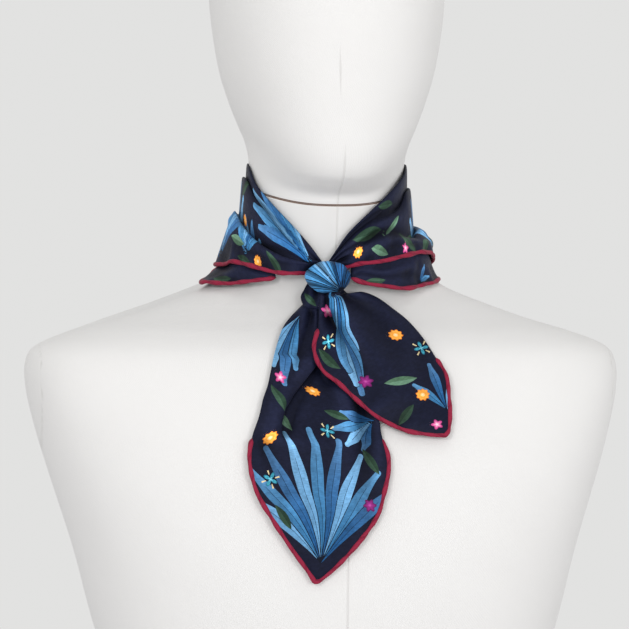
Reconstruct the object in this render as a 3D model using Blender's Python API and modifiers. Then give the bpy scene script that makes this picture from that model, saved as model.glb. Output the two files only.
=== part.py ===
"""A silk square scarf, folded to a triangle and knotted round the neck of a dress form.

Lengths are in millimetres and become metres when a mesh is made. The form looks along -Y and
stands on Z = 0. Angles round the neck are in degrees, from the middle of the knot and positive
towards the form's left shoulder. The scarf sits a few degrees round from the form's centre front.
"""
import math

import bpy
import numpy as np
from mathutils.bvhtree import BVHTree

COLLECTION_NAME = "silk square scarf on a dress form"
METRE = 0.001

# ---------------------------------------------------------------- driving sizes
SCARF_TURN = -7.0        # degrees from the form's centre front to the knot
CLOTH_WALL = 1.2         # the doubled silk, with its folds
SEAM_GAP = 0.3           # between pieces that touch
BODY_GAP = 0.9           # between the scarf and the form
HEM_RADIUS = 1.9         # the plump rolled hem
UNDER_LEAF_ROOM = 3.0    # what the outer leaf leaves for the leaf below it
UNDER_LEAF_TUCK = 0.42   # share of the outer leaf's belly that the under leaf runs up below

TORSO_RINGS = 23
HEAD_RINGS = 19
FORM_POINTS = 36         # round each ring
WRAP_STATIONS = 54
UNDER_STATIONS = 50
TAIL_POINTS = 12
TAIL_TIP = 0.36          # share of a tail's last row left to its hem
SECTION_POINTS = (1, 3, 2, 4, 2, 3, 6)   # between the corners of the outer leaf's section

KNOT_CENTRE = (0.9, -66.3, 407.9)
KNOT_HALF_SIZE = (13.8, 9.9, 9.4)
KNOT_TILT = -14.0        # degrees, down towards the form's left
KNOT_PLEATS = 6
KNOT_PLEAT_DEPTH = 0.45

# Rings of the form from the base up: half width, its height at the side, front depth and height,
# back depth and height, squareness, and how far the widest point is set back.
TORSO = np.array([
    (126.0, 0.0, 86.0, 0.0, 80.0, 0.0, 2.3, 0.0),
    (128.0, 6.0, 88.0, 6.0, 82.0, 6.0, 2.3, 0.0),
    (120.0, 60.0, 84.0, 60.0, 72.0, 60.0, 2.2, 0.0),
    (131.0, 110.0, 92.0, 110.0, 78.0, 110.0, 2.25, 2.0),
    (153.0, 174.0, 106.0, 172.0, 88.0, 174.0, 2.35, 8.0),
    (168.0, 230.0, 110.0, 224.0, 95.0, 230.0, 2.45, 14.0),
    (184.0, 280.0, 104.0, 270.0, 98.0, 282.0, 2.6, 22.0),
    (193.0, 310.0, 95.0, 300.0, 98.0, 316.0, 2.7, 27.0),
    (198.5, 334.0, 84.0, 324.0, 94.0, 344.0, 2.8, 30.0),
    (199.0, 352.0, 74.0, 344.0, 88.0, 366.0, 2.8, 30.0),
    (192.0, 363.5, 66.0, 359.0, 82.0, 383.0, 2.7, 28.0),
    (168.0, 373.0, 60.0, 371.0, 76.0, 396.0, 2.5, 24.0),
    (137.0, 382.0, 56.0, 380.0, 71.0, 407.0, 2.3, 18.0),
    (105.0, 393.0, 53.5, 388.0, 66.0, 417.0, 2.15, 10.0),
    (80.0, 403.0, 52.0, 395.0, 61.0, 426.0, 2.05, 4.0),
    (64.0, 415.0, 52.0, 404.0, 57.0, 436.0, 2.0, 1.0),
    (55.0, 432.0, 54.0, 419.0, 52.0, 450.0, 2.0, 0.0),
    (52.0, 450.0, 57.0, 438.0, 49.0, 465.0, 2.0, 0.0),
    (51.5, 466.0, 60.0, 454.5, 46.0, 478.0, 2.0, 0.0),
])
HEAD = np.array([
    (51.5, 466.0, 60.0, 454.5, 46.0, 478.0, 2.0, 0.0),
    (51.5, 478.0, 64.0, 461.0, 46.0, 488.0, 2.0, 0.0),
    (52.0, 489.0, 78.0, 466.0, 50.0, 498.0, 2.0, 0.0),
    (54.7, 500.0, 90.0, 472.0, 57.0, 508.0, 2.0, 0.0),
    (59.3, 511.0, 96.5, 484.0, 66.0, 520.0, 2.05, 0.0),
    (65.2, 526.5, 99.5, 504.0, 76.0, 536.0, 2.1, 0.0),
    (71.5, 548.0, 101.5, 532.0, 85.0, 560.0, 2.15, 0.0),
    (76.5, 580.0, 101.5, 570.0, 90.0, 592.0, 2.2, 0.0),
    (78.2, 610.0, 99.0, 606.0, 91.0, 618.0, 2.2, 0.0),
    (76.5, 640.0, 91.0, 640.0, 86.0, 645.0, 2.2, 0.0),
    (70.0, 668.0, 76.0, 670.0, 74.0, 670.0, 2.15, 0.0),
    (55.0, 690.0, 55.0, 691.0, 55.0, 691.0, 2.1, 0.0),
    (32.0, 702.0, 30.0, 702.5, 32.0, 702.5, 2.0, 0.0),
    (8.0, 705.7, 8.0, 705.7, 8.0, 705.7, 2.0, 0.0),
])

# The pleated outer leaf, from the knot's left side round the back to its right side. Each row:
# angle of the hem, angle of the top fold, then how far out from the form and how high lie the top
# fold, the second and the third pleat's folds, the belly below them and the hem, and how far the
# second and third pleats hang over the one above (negative where they run out into smooth cloth).
OUTER_LEAF = np.array([
    (-12, -4, 4.5, 421.0, 5.6, 418.4, 6.3, 416.8, 7.1, 415.4, 8.2, 410.6, 0.4, 0.2),
    (-18, -12, 4.1, 432.5, 8.0, 422.0, 10.9, 418.4, 12.4, 416.0, 12.9, 410.6, 2.0, 1.0),
    (-28, -25, 3.0, 446.5, 6.2, 435.0, 10.5, 422.4, 12.5, 417.5, 12.9, 411.2, 3.0, 2.5),
    (-42, -41, 2.5, 460.0, 5.0, 452.0, 9.7, 430.5, 12.4, 423.0, 13.4, 415.0, 3.5, 3.5),
    (-56, -56, 2.6, 471.0, 4.4, 464.0, 9.4, 440.0, 13.0, 430.0, 14.1, 418.6, 4.0, 4.5),
    (-70, -70, 2.5, 483.0, 4.2, 476.0, 9.0, 450.0, 14.2, 437.0, 11.9, 416.6, 4.0, 5.0),
    (-84, -84, 2.3, 488.0, 4.3, 478.5, 8.9, 455.5, 14.8, 437.0, 11.4, 417.2, 4.0, 5.0),
    (-100, -100, 2.0, 490.0, 4.9, 477.5, 8.6, 454.5, 12.4, 433.0, 8.8, 414.0, 4.0, 5.0),
    (-120, -120, 2.2, 490.0, 6.2, 476.0, 8.6, 452.0, 9.0, 428.0, 6.0, 409.0, 4.0, 5.0),
    (-140, -140, 2.8, 489.0, 7.2, 474.0, 8.0, 450.0, 6.0, 424.0, 5.2, 367.0, 4.0, 5.0),
    (-157, -157, 3.6, 488.0, 7.6, 472.5, 7.2, 448.5, 4.6, 420.0, 5.2, 312.0, 4.0, 5.0),
    (-173, -173, 3.9, 488.0, 7.6, 472.0, 7.0, 448.0, 4.4, 418.0, 5.2, 262.0, 4.0, 5.0),
    (-189, -189, 3.6, 488.0, 7.4, 472.0, 7.2, 447.6, 4.6, 420.0, 5.2, 312.0, 4.0, 5.0),
    (-206, -206, 2.8, 489.0, 6.6, 472.0, 7.8, 447.2, 6.0, 424.0, 5.2, 367.0, 4.0, 5.0),
    (-226, -226, 2.2, 490.0, 5.6, 472.0, 8.2, 446.4, 9.0, 428.0, 6.0, 409.0, 4.0, 5.0),
    (-246, -246, 2.0, 490.0, 4.6, 471.5, 8.4, 445.4, 12.4, 430.0, 8.0, 412.5, 4.0, 5.0),
    (-262, -262, 2.0, 489.0, 4.4, 470.8, 8.3, 444.0, 14.6, 431.0, 11.4, 416.5, 4.0, 5.0),
    (-276, -276, 2.0, 487.0, 4.3, 469.5, 8.4, 442.0, 16.2, 432.0, 15.2, 422.2, 3.5, 4.5),
    (-287, -288, 2.0, 484.0, 4.3, 468.0, 8.8, 439.0, 16.0, 431.5, 16.4, 424.3, 3.5, 4.0),
    (-294, -296, 2.2, 479.0, 4.2, 465.0, 9.5, 434.5, 14.2, 430.5, 16.4, 424.7, 3.0, 2.5),
    (-302, -304, 2.6, 474.5, 4.0, 456.0, 9.8, 434.5, 12.8, 430.0, 16.0, 424.5, 2.0, 0.0),
    (-315, -318, 3.1, 464.5, 4.6, 447.5, 8.8, 435.0, 11.8, 429.0, 15.0, 421.8, -1.0, -2.0),
    (-328, -332, 3.2, 452.0, 4.8, 443.0, 8.0, 433.0, 10.8, 426.0, 13.8, 418.6, -2.0, -2.0),
    (-340, -346, 3.4, 438.0, 5.4, 432.0, 8.4, 427.0, 10.9, 422.6, 13.0, 417.2, -2.0, -1.0),
    (-348, -355, 4.0, 424.5, 5.0, 422.8, 6.1, 421.2, 6.9, 419.6, 8.6, 414.6, -0.4, -0.2),
], float)

# The under leaf's own hem: angle, distance out from the form and height.
UNDER_HEM = np.array([
    (-31, 7.9, 407.6), (-42, 10.5, 405.2), (-53, 10.0, 403.2), (-66, 8.1, 403.6),
    (-78, 8.1, 405.2), (-87, 9.5, 406.4), (-100, 4.0, 406.0), (-120, 3.2, 402.0),
    (-140, 3.0, 353.0), (-157, 3.0, 297.0), (-173, 3.0, 246.0), (-189, 3.0, 297.0),
    (-206, 3.0, 353.0), (-226, 3.2, 400.0), (-246, 3.2, 404.5), (-262, 3.2, 405.6),
    (-275, 3.6, 405.6), (-290, 7.6, 404.2), (-300, 8.7, 401.2), (-312, 10.7, 399.2),
    (-325, 12.7, 401.2), (-337, 12.5, 404.2), (-346, 11.8, 407.6),
], float)

# Each tail from its root to its tip, seen square on from the knot's side: left edge and right
# edge, each as distance to the right and height, then how far the left edge, the middle and the
# right edge stand off the form.
SHORT_TAIL = np.array([
    (-4.0, 395.8, 13.2, 398.0, 9.5, 14.0, 8.0),
    (-4.8, 391.0, 23.0, 398.6, 10.0, 14.0, 7.5),
    (-5.4, 375.6, 33.0, 395.0, 11.0, 13.5, 6.5),
    (-8.0, 361.8, 44.0, 388.6, 11.5, 13.0, 6.0),
    (-2.6, 348.6, 53.6, 380.4, 11.0, 12.5, 6.0),
    (7.6, 340.4, 62.4, 369.0, 10.0, 12.0, 6.0),
    (18.4, 330.4, 70.4, 356.4, 9.0, 11.5, 6.5),
    (31.6, 319.4, 77.0, 345.0, 7.0, 10.0, 7.0),
    (48.0, 311.0, 78.6, 331.4, 7.0, 9.0, 7.0),
    (63.0, 307.8, 79.0, 318.8, 6.5, 8.0, 6.5),
    (75.6, 306.8, 78.0, 309.4, 6.0, 6.5, 6.0),
])
LONG_TAIL = np.array([
    (-14.6, 391.0, -3.0, 391.0, 2.6, 3.6, 3.0),
    (-21.8, 382.0, -3.8, 383.0, 3.2, 5.4, 3.6),
    (-26.2, 374.2, -3.8, 372.4, 3.5, 6.5, 4.0),
    (-30.6, 360.4, -3.6, 358.6, 3.5, 6.5, 3.5),
    (-34.6, 347.8, -0.8, 346.6, 3.5, 6.5, 3.0),
    (-37.4, 339.0, 4.4, 339.4, 3.5, 5.0, 3.0),
    (-40.4, 330.0, 20.2, 332.6, 3.5, 4.5, 3.5),
    (-42.8, 319.4, 32.0, 319.4, 3.5, 5.5, 4.0),
    (-47.2, 306.2, 36.0, 305.6, 3.5, 6.0, 4.0),
    (-49.0, 294.2, 39.8, 294.6, 4.0, 6.0, 5.0),
    (-47.6, 282.8, 40.0, 284.2, 4.5, 6.0, 5.5),
    (-43.8, 270.4, 37.6, 272.2, 4.5, 6.0, 5.5),
    (-35.0, 256.0, 33.4, 257.2, 4.5, 5.5, 5.5),
    (-23.6, 238.8, 21.8, 240.8, 4.5, 5.5, 5.0),
    (-12.8, 224.4, 8.0, 225.8, 4.0, 5.0, 4.5),
    (-6.4, 216.4, -3.6, 216.8, 3.5, 4.0, 3.5),
])

# Creases of a tail: place of the crest across the tail at the root and at the tip (0 left edge,
# 1 right edge), half width across it, height (negative for a valley), first and last station.
SHORT_TAIL_CREASES = [
    (0.14, 0.10, 0.09, 1.6, 0.0, 0.45),
    (0.36, 0.42, 0.10, -4.0, 0.0, 0.62),
    (0.60, 0.66, 0.12, 2.2, 0.0, 0.80),
    (0.86, 0.84, 0.08, -1.4, 0.0, 0.50),
]
LONG_TAIL_CREASES = [
    (0.62, 0.22, 0.12, 2.6, 0.15, 0.60),
    (0.98, 0.34, 0.10, -2.6, 0.25, 0.66),
    (0.78, 0.62, 0.07, 1.8, 0.30, 0.90),
    (0.92, 0.82, 0.09, -2.4, 0.35, 0.85),
]
# The end of the cloth that laps over the long tail's root, left of the knot's underside.
KNOT_LOOP = np.array([
    (-13.0, 402.6, -3.2, 401.0, 2.2, 3.0, 2.4),
    (-14.8, 399.0, -3.4, 397.6, 4.2, 5.6, 4.8),
    (-16.2, 395.6, -5.6, 394.6, 5.5, 8.1, 5.9),
    (-14.8, 391.6, -6.2, 391.4, 5.7, 7.9, 5.9),
    (-13.2, 388.8, -7.4, 388.8, 5.7, 6.9, 5.9),
])


# ---------------------------------------------------------------- helpers for curves
def rows_between(table, steps):
    """Rows read at even steps along a table, by cubic pieces whose slopes come from neighbours."""
    knots = np.arange(len(table))
    return rows_at(knots, table, np.linspace(0.0, len(table) - 1.0, steps))


def rows_at(knots, table, places):
    """The table's columns at the given places along its knots, as a smooth cubic through them."""
    slopes = np.gradient(table, knots, axis=0)
    first = np.clip(np.searchsorted(knots, places, side="right") - 1, 0, len(knots) - 2)
    span = (knots[first + 1] - knots[first])[:, None]
    t = (places - knots[first])[:, None] / span
    start = (1 + 2 * t) * (1 - t) ** 2 * table[first] + t * (1 - t) ** 2 * span * slopes[first]
    end = t * t * (3 - 2 * t) * table[first + 1] + t * t * (t - 1) * span * slopes[first + 1]
    return start + end


def even_places(points, count):
    """Places between 0 and 1 along a chain of points, evenly spaced by length."""
    lengths = np.linalg.norm(np.diff(points, axis=0), axis=1)
    along = np.concatenate(([0.0], np.cumsum(lengths)))
    return np.interp(np.linspace(0.0, along[-1], count), along, np.linspace(0.0, 1.0, len(points)))


def rows_by_length(table, line, count):
    """Rows of a table whose spacing is half by its rows and half by the length of a line."""
    by_length = even_places(line, count) * (len(table) - 1)
    by_row = np.linspace(0.0, len(table) - 1.0, count)
    return rows_at(np.arange(len(table)), table, (by_length + by_row) / 2)


def smooth_step(values):
    values = np.clip(values, 0.0, 1.0)
    return values * values * (3.0 - 2.0 * values)


# ---------------------------------------------------------------- the form's surface
def form_rings(table, steps, lift=0.0):
    """Rings of a superellipse whose height slides from the front, by the side, to the back."""
    width, side_z, front, front_z, back, back_z, power, set_back = rows_between(table, steps).T[..., None]
    turn = np.linspace(-math.pi, math.pi, FORM_POINTS, endpoint=False)[None]
    sine, cosine = np.sin(turn), np.cos(turn)
    is_front = cosine > 0.0
    depth = np.where(is_front, front + set_back, back - set_back)
    x = width * np.sign(sine) * np.abs(sine) ** (2.0 / power)
    y = set_back - depth * np.sign(cosine) * np.abs(cosine) ** (2.0 / power)
    side = np.abs(sine) ** 2.5
    z = side * side_z + (1.0 - side) * np.where(is_front, front_z, back_z)
    return np.stack([x, y, z + lift], axis=-1)


def make_form_lookup():
    """Radius and height of every ring of the form at whole degrees round the Z axis, with each
    straight side of a ring read at several points."""
    rings = np.concatenate([form_rings(TORSO, TORSO_RINGS), form_rings(HEAD, HEAD_RINGS)[1:]])
    degrees = np.arange(-180, 181)
    radius = np.empty((len(rings), len(degrees)))
    height = np.empty_like(radius)
    for row, corners in enumerate(rings):
        ring = np.linspace(corners, np.roll(corners, -1, axis=0), 8, endpoint=False).reshape(-1, 3)
        angle = np.degrees(np.arctan2(ring[:, 0], -ring[:, 1]))
        order = np.argsort(angle)
        reach = np.hypot(ring[:, 0], ring[:, 1])
        radius[row] = np.interp(degrees, angle[order], reach[order], period=360)
        height[row] = np.interp(degrees, angle[order], ring[order, 2], period=360)
    return radius, height


FORM_RADIUS, FORM_HEIGHT = make_form_lookup()


def form_radius(angle, height):
    """Distance of the form's surface from the Z axis, at an angle from its centre front."""
    angle, height = np.broadcast_arrays(angle, height)
    degrees = (angle.ravel() + 180.0) % 360.0
    column = np.floor(degrees).astype(int)
    share = degrees - column
    level = height.ravel()
    rings_z = (1 - share) * FORM_HEIGHT[:, column] + share * FORM_HEIGHT[:, column + 1]
    rings_r = (1 - share) * FORM_RADIUS[:, column] + share * FORM_RADIUS[:, column + 1]
    first = np.clip((rings_z < level).sum(axis=0) - 1, 0, len(rings_z) - 2)
    place = np.arange(len(column))
    low, high = rings_z[first, place], rings_z[first + 1, place]
    part = np.clip((level - low) / np.maximum(high - low, 1e-6), 0.0, 1.0)
    reach = (1 - part) * rings_r[first, place] + part * rings_r[first + 1, place]
    return reach.reshape(angle.shape)


def around_neck(angle, radius, height):
    """Points at an angle from the knot, a radius from the neck's axis, and a height."""
    turn = np.radians(angle + SCARF_TURN)
    return np.stack([radius * np.sin(turn), -radius * np.cos(turn), height], axis=-1)


def on_chest(right, height, stand_off):
    """Points seen square on from the knot's side, standing off the front of the form."""
    depth = np.full_like(right, 60.0)
    for _ in range(20):
        reach = form_radius(np.degrees(np.arctan2(right, depth)) + SCARF_TURN, height)
        depth = (depth + np.sqrt(np.maximum(reach ** 2 - right ** 2, 1.0))) / 2
    depth = depth + stand_off
    turn = math.radians(SCARF_TURN)
    x = right * math.cos(turn) + -depth * -math.sin(turn)
    y = right * math.sin(turn) + -depth * math.cos(turn)
    return np.stack([x, y, height], axis=-1)


# ---------------------------------------------------------------- the scarf's surfaces
def push_out(points, gap, form):
    """The moves that take points square away from the form where they are nearer than the gap."""
    moves = np.zeros((points[..., 0].size, 3))
    gaps = np.broadcast_to(gap, points.shape[:-1]).ravel()
    for place, point in enumerate(points.reshape(-1, 3)):
        nearest, normal, _, distance = form.find_nearest(point)
        outside = (point - np.array(nearest)) @ np.array(normal) > 0.0
        if not outside or distance < gaps[place]:
            moves[place] = np.array(nearest) + np.array(normal) * gaps[place] - point
    return moves.reshape(points.shape)


def lift_off(points, gap, form):
    """A grid moved off the form until its points, and the middles between them, clear the gap."""
    gap = np.broadcast_to(gap, points.shape[:2])
    lifted = points + push_out(points, gap, form)
    for axis in (0, 1, 0, 1, 0, 1):
        line, gaps = np.moveaxis(lifted, axis, 0), np.moveaxis(gap, axis, 0)
        middles = (line[1:] + line[:-1]) / 2
        move = push_out(middles, np.minimum(gaps[1:], gaps[:-1]), form)
        line[1:] += move / 2
        line[:-1] += move / 2
    return lifted


def out_from_form(angle, distance, height):
    """Points at an angle from the knot and a height, that far out from the form."""
    return around_neck(angle, form_radius(angle + SCARF_TURN, height) + distance, height)


def radius_and_height(points):
    return np.hypot(points[..., 0], points[..., 1]), points[..., 2]


def reach_past(line, across):
    """How far along a slanting direction an edge must stop to leave a hem its room, using the
    sharper of the two slants that each point of the hem's line makes with its neighbours."""
    run = np.diff(line, axis=0)
    run = run / np.linalg.norm(run, axis=1)[:, None]
    before, after = np.vstack([run[:1], run]), np.vstack([run, run[-1:]])
    across = across / np.linalg.norm(across, axis=1)[:, None]
    slants = [np.linalg.norm(np.cross(side, across), axis=1) for side in (before, after)]
    return (HEM_RADIUS + 3 * SEAM_GAP) / np.clip(np.minimum(*slants), 0.3, 1.0)


def pleated_section(row, reach):
    """Angle, radius and height down one section of the outer leaf: over each fold and under it,
    ending short of the hem by its reach."""
    (hem_angle, top_angle, top_r, top_z, two_r, two_z, three_r, three_z,
     belly_r, belly_z, hem_r, hem_z, two_lap, three_lap) = row
    hem_share = reach / math.hypot(belly_r - hem_r, belly_z - hem_z)
    corners = np.array([
        (top_r - 0.8, top_z - 1.2),
        (top_r + 0.3, top_z),
        (two_r - 2.0, two_z - two_lap),
        (two_r, two_z),
        (three_r - 2.6, three_z - three_lap),
        (three_r, three_z),
        (belly_r, belly_z),
        (hem_r + (belly_r - hem_r) * hem_share, hem_z + (belly_z - hem_z) * hem_share),
    ])
    parts = [np.linspace(a, b, share, endpoint=False)
             for a, b, share in zip(corners[:-1], corners[1:], SECTION_POINTS)]
    line = np.concatenate(parts + [corners[-1:]])
    rounded = line.copy()
    rounded[1:-1] = 0.25 * line[:-2] + 0.5 * line[1:-1] + 0.25 * line[2:]
    down = np.linspace(0.0, 1.0, len(line))
    angle = top_angle + (hem_angle - top_angle) * down
    return angle, rounded[:, 0], rounded[:, 1]


def outer_leaf(form):
    """Outer skin, inner skin and hem line of the pleated leaf. Its hidden folds fill the space
    between the skins, down to the belly, and below that it is one wall."""
    hem = out_from_form(*OUTER_LEAF[:, (0, 10, 11)].T)
    rows = rows_by_length(OUTER_LEAF, hem, WRAP_STATIONS)
    shares = np.linspace(0.0, 1.0, 5)[None]
    angles = rows[:, 1:2] + (rows[:, 0:1] - rows[:, 1:2]) * shares
    rows[:, 2:12:2] += form_radius(angles + SCARF_TURN, rows[:, 3:12:2])
    hem = around_neck(rows[:, 0], rows[:, 10], rows[:, 11])
    hem = lift_off(hem[None], BODY_GAP + UNDER_LEAF_ROOM + HEM_RADIUS, form)[0]
    rows[:, 10], rows[:, 11] = radius_and_height(hem)
    belly = around_neck(rows[:, 0], rows[:, 8], rows[:, 9])
    sections = map(pleated_section, rows, reach_past(hem, belly - hem))
    angle, radius, height = (np.array(part) for part in zip(*sections))
    belly = sum(SECTION_POINTS[:6])
    step = np.arange(angle.shape[1])[None]
    below = smooth_step(2.5 * (step - belly) / (step[0, -1] - belly))
    room = BODY_GAP + UNDER_LEAF_ROOM * below

    run_r, run_z = np.gradient(radius, axis=1), np.gradient(height, axis=1)
    run = np.hypot(run_r, run_z)
    top_z = height[:, :1] - 0.6
    fill_z = top_z + (height[:, belly:belly + 1] - top_z) * np.clip(step / belly, 0.0, 1.0)
    fill_z = np.where(step > belly, height, fill_z)
    fill_r = form_radius(angle + SCARF_TURN, fill_z) + room
    inner_r = fill_r + (radius + CLOTH_WALL * run_z / run - fill_r) * below
    inner_z = fill_z + (height - CLOTH_WALL * run_r / run - fill_z) * below
    outer = lift_off(around_neck(angle, radius, height), room + CLOTH_WALL, form)
    inner = lift_off(around_neck(angle, inner_r, inner_z), room, form)
    return outer, inner, hem


def square_to(fall, line):
    """Unit normals, on the form's side, of the cloth that falls from the points of a line."""
    normal = np.cross(fall[:, 0], np.gradient(line[:, 0], axis=0))
    return normal / np.linalg.norm(normal, axis=1)[:, None]


def under_leaf(form):
    """Middle surface and hem line of the under leaf: from its tuck below the outer leaf, past the
    inner side of the outer leaf's hem, to its own hem."""
    rows = rows_by_length(UNDER_HEM, out_from_form(*UNDER_HEM.T), UNDER_STATIONS)
    angle, hem_off, hem_z = rows.T[..., None]
    hem = lift_off(out_from_form(angle, hem_off, hem_z), HEM_RADIUS + BODY_GAP, form)
    from_left = OUTER_LEAF[::-1]
    columns = rows_at(from_left[:, 0], from_left[:, 8:12], angle[:, 0])
    belly_off, belly_z, outer_off, outer_z = columns.T[..., None]
    belly = out_from_form(angle, belly_off, belly_z)
    outer = lift_off(out_from_form(angle, outer_off, outer_z),
                     BODY_GAP + UNDER_LEAF_ROOM + HEM_RADIUS, form)
    inward = square_to(hem - outer, outer) + square_to(outer - belly, outer)
    inward = inward / np.sum(inward * square_to(hem - outer, outer), axis=1)[:, None]
    middle = outer[:, 0] + inward * (HEM_RADIUS + CLOTH_WALL / 2 + 4 * SEAM_GAP)
    reach = reach_past(hem[:, 0], hem[:, 0] - middle)[:, None]
    down = hem[:, 0] - middle
    edge = hem[:, 0] - down / np.linalg.norm(down, axis=1)[:, None] * reach
    top_z = outer[..., 2] + UNDER_LEAF_TUCK * (belly_z - outer[..., 2]) - 1.0
    top = out_from_form(angle, BODY_GAP + CLOTH_WALL / 2, top_z)[:, 0]
    grid = np.stack([top, (top + middle) / 2, middle, middle + (edge - middle) / 3,
                     middle + (edge - middle) * 2 / 3, edge], axis=1)
    return lift_off(grid, BODY_GAP + CLOTH_WALL / 2 + SEAM_GAP, form), hem[:, 0]


def draw_in(edge, towards, amount):
    """An edge moved square to its own run, to the side that the other edge lies on."""
    run = np.gradient(edge, axis=0)
    square = np.stack([-run[:, 1], run[:, 0]], axis=1) / np.linalg.norm(run, axis=1)[:, None]
    side = np.sign(np.sum(square * (towards - edge), axis=1, keepdims=True))
    return edge + square * side * amount


def tail_grid(table, creases, stations, points, hem_rows):
    """A tail's middle surface: straight across each row, bowed to the row's middle stand-off,
    with each crease added as a bell across it. Below the rows where its hems start, left and
    right, its edges draw in to leave room for them."""
    middle = (table[:, 0:2] + table[:, 2:4]) / 2
    places = even_places(middle, stations) * (len(table) - 1.0 - TAIL_TIP)
    rows = rows_at(np.arange(len(table)), table, places)
    left, right = rows[:, 0:2], rows[:, 2:4]
    room = [(HEM_RADIUS + SEAM_GAP) * smooth_step(places[:, None] - row + 1.3) for row in hem_rows]
    left, right = draw_in(left, right, room[0]), draw_in(right, left, room[1])
    across = np.linspace(0.0, 1.0, points)[None, :]
    flat = left[:, None] + (right - left)[:, None] * across[..., None]
    off_left, off_middle, off_right = rows[:, 4:5], rows[:, 5:6], rows[:, 6:7]
    bow = 4.0 * across * (1.0 - across)
    stand_off = off_left + (off_right - off_left) * across
    stand_off = stand_off + (off_middle - (off_left + off_right) / 2) * bow
    down = np.linspace(0.0, 1.0, stations)[:, None]
    for root, tip, half_width, rise, first, last in creases:
        centre = root + (tip - root) * down
        fade = smooth_step(1.35 - 1.4 * np.abs(down - (first + last) / 2) / (last - first))
        bell = np.exp(-((across - centre) / half_width) ** 2) * np.minimum(1.0, 3.0 * bow)
        stand_off = stand_off + rise * fade * bell
    stand_off = np.maximum(stand_off, BODY_GAP + CLOTH_WALL)
    return on_chest(flat[..., 0], flat[..., 1], stand_off)


def tail_hem_line(table, hem_rows, count):
    """The line of a tail's hem, down its left edge, round the tip and up its right edge."""
    end = len(table) - 1.0
    knots = np.arange(len(table))
    left = rows_at(knots, table, np.linspace(hem_rows[0], end, 60))[:, (0, 1, 4)]
    right = rows_at(knots, table, np.linspace(end, hem_rows[1], 60))[:, (2, 3, 6)]
    tip = (left[-1] + right[0]) / 2
    chain = np.vstack([left[:-1], tip, right[1:]])
    places = even_places(chain[:, :2], count) * (len(chain) - 1)
    right, height, stand_off = (np.interp(places, np.arange(len(chain)), column) for column in chain.T)
    return on_chest(right, height, np.maximum(stand_off, HEM_RADIUS + BODY_GAP))


# ---------------------------------------------------------------- making objects
def make_material(name, colour, roughness, sheen=0.0):
    material = bpy.data.materials.new(name)
    material.use_nodes = True
    shader = material.node_tree.nodes["Principled BSDF"]
    shader.inputs["Base Color"].default_value = (*colour, 1.0)
    shader.inputs["Roughness"].default_value = roughness
    shader.inputs["Metallic"].default_value = 0.0
    shader.inputs["Sheen Weight"].default_value = sheen
    return material


def add_object(collection, name, data, material):
    item = bpy.data.objects.new(name, data)
    data.materials.append(material)
    collection.objects.link(item)
    return item


def grid_faces(rows, columns, wrap=False):
    """Quads between neighbouring points of a grid, with its last column joined to the first."""
    last = columns if wrap else columns - 1
    faces = []
    for row in range(rows - 1):
        for column in range(last):
            beside = (column + 1) % columns
            a, b = row * columns + column, row * columns + beside
            faces.append((a, b, b + columns, a + columns))
    return faces


def make_mesh(name, points, faces, smooth_angle=50.0):
    mesh = bpy.data.meshes.new(name)
    mesh.from_pydata([tuple(point) for point in points * METRE], [], faces)
    mesh.validate()
    mesh.shade_smooth()
    mesh.set_sharp_from_angle(angle=math.radians(smooth_angle))
    return mesh


def surface_of(*items):
    """A tree of the items' faces, in millimetres, for finding the nearest point of their skin."""
    points, faces = [], []
    for item in items:
        start = len(points)
        points += [vertex.co / METRE for vertex in item.data.vertices]
        faces += [[start + corner for corner in face.vertices] for face in item.data.polygons]
    return BVHTree.FromPolygons(points, faces)


def ring_solid(collection, name, rings, material):
    """A solid through closed rings, with a fan of triangles closing each end."""
    steps, count = rings.shape[:2]
    points = np.concatenate([rings.reshape(-1, 3), [rings[0].mean(axis=0)], [rings[-1].mean(axis=0)]])
    faces = grid_faces(steps, count, wrap=True)
    bottom, top = steps * count, steps * count + 1
    start = (steps - 1) * count
    for column in range(count):
        beside = (column + 1) % count
        faces.append((bottom, beside, column))
        faces.append((top, start + column, start + beside))
    return add_object(collection, name, make_mesh(name, points, faces), material)


def thick_sheet(collection, name, outer, inner, material):
    """A sheet between two unlike skins on the same grid, closed along its four edges."""
    rows, columns = outer.shape[:2]
    size = rows * columns
    points = np.concatenate([outer.reshape(-1, 3), inner.reshape(-1, 3)])
    back = grid_faces(rows, columns)
    faces = [tuple(reversed(face)) for face in back]
    faces += [tuple(corner + size for corner in face) for face in back]
    top = [row * columns for row in range(rows)]
    bottom = [row * columns + columns - 1 for row in range(rows)]
    left = list(range(columns))
    right = list(range(size - columns, size))
    for edge, flip in ((top, True), (bottom, False), (left, False), (right, True)):
        for a, b in zip(edge[:-1], edge[1:]):
            face = (a, b, b + size, a + size)
            faces.append(tuple(reversed(face)) if flip else face)
    return add_object(collection, name, make_mesh(name, points, faces), material)


def cloth_sheet(collection, name, grid, material):
    """An open surface that Solidify gives the cloth's wall, half to each side."""
    rows, columns = grid.shape[:2]
    mesh = make_mesh(name, grid.reshape(-1, 3), grid_faces(rows, columns))
    item = add_object(collection, name, mesh, material)
    wall = item.modifiers.new("cloth wall", "SOLIDIFY")
    wall.thickness = CLOTH_WALL * METRE
    wall.offset = 0.0
    return item


def rolled_hem(collection, name, line, material):
    """A hem as a round tube along a chain of points."""
    curve = bpy.data.curves.new(name, "CURVE")
    curve.dimensions = "3D"
    curve.bevel_depth = HEM_RADIUS * METRE
    curve.bevel_resolution = 1
    curve.use_fill_caps = True
    spline = curve.splines.new("POLY")
    spline.points.add(len(line) - 1)
    for point, place in zip(spline.points, line * METRE):
        point.co = (*place, 1.0)
    return add_object(collection, name, curve, material)


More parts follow.
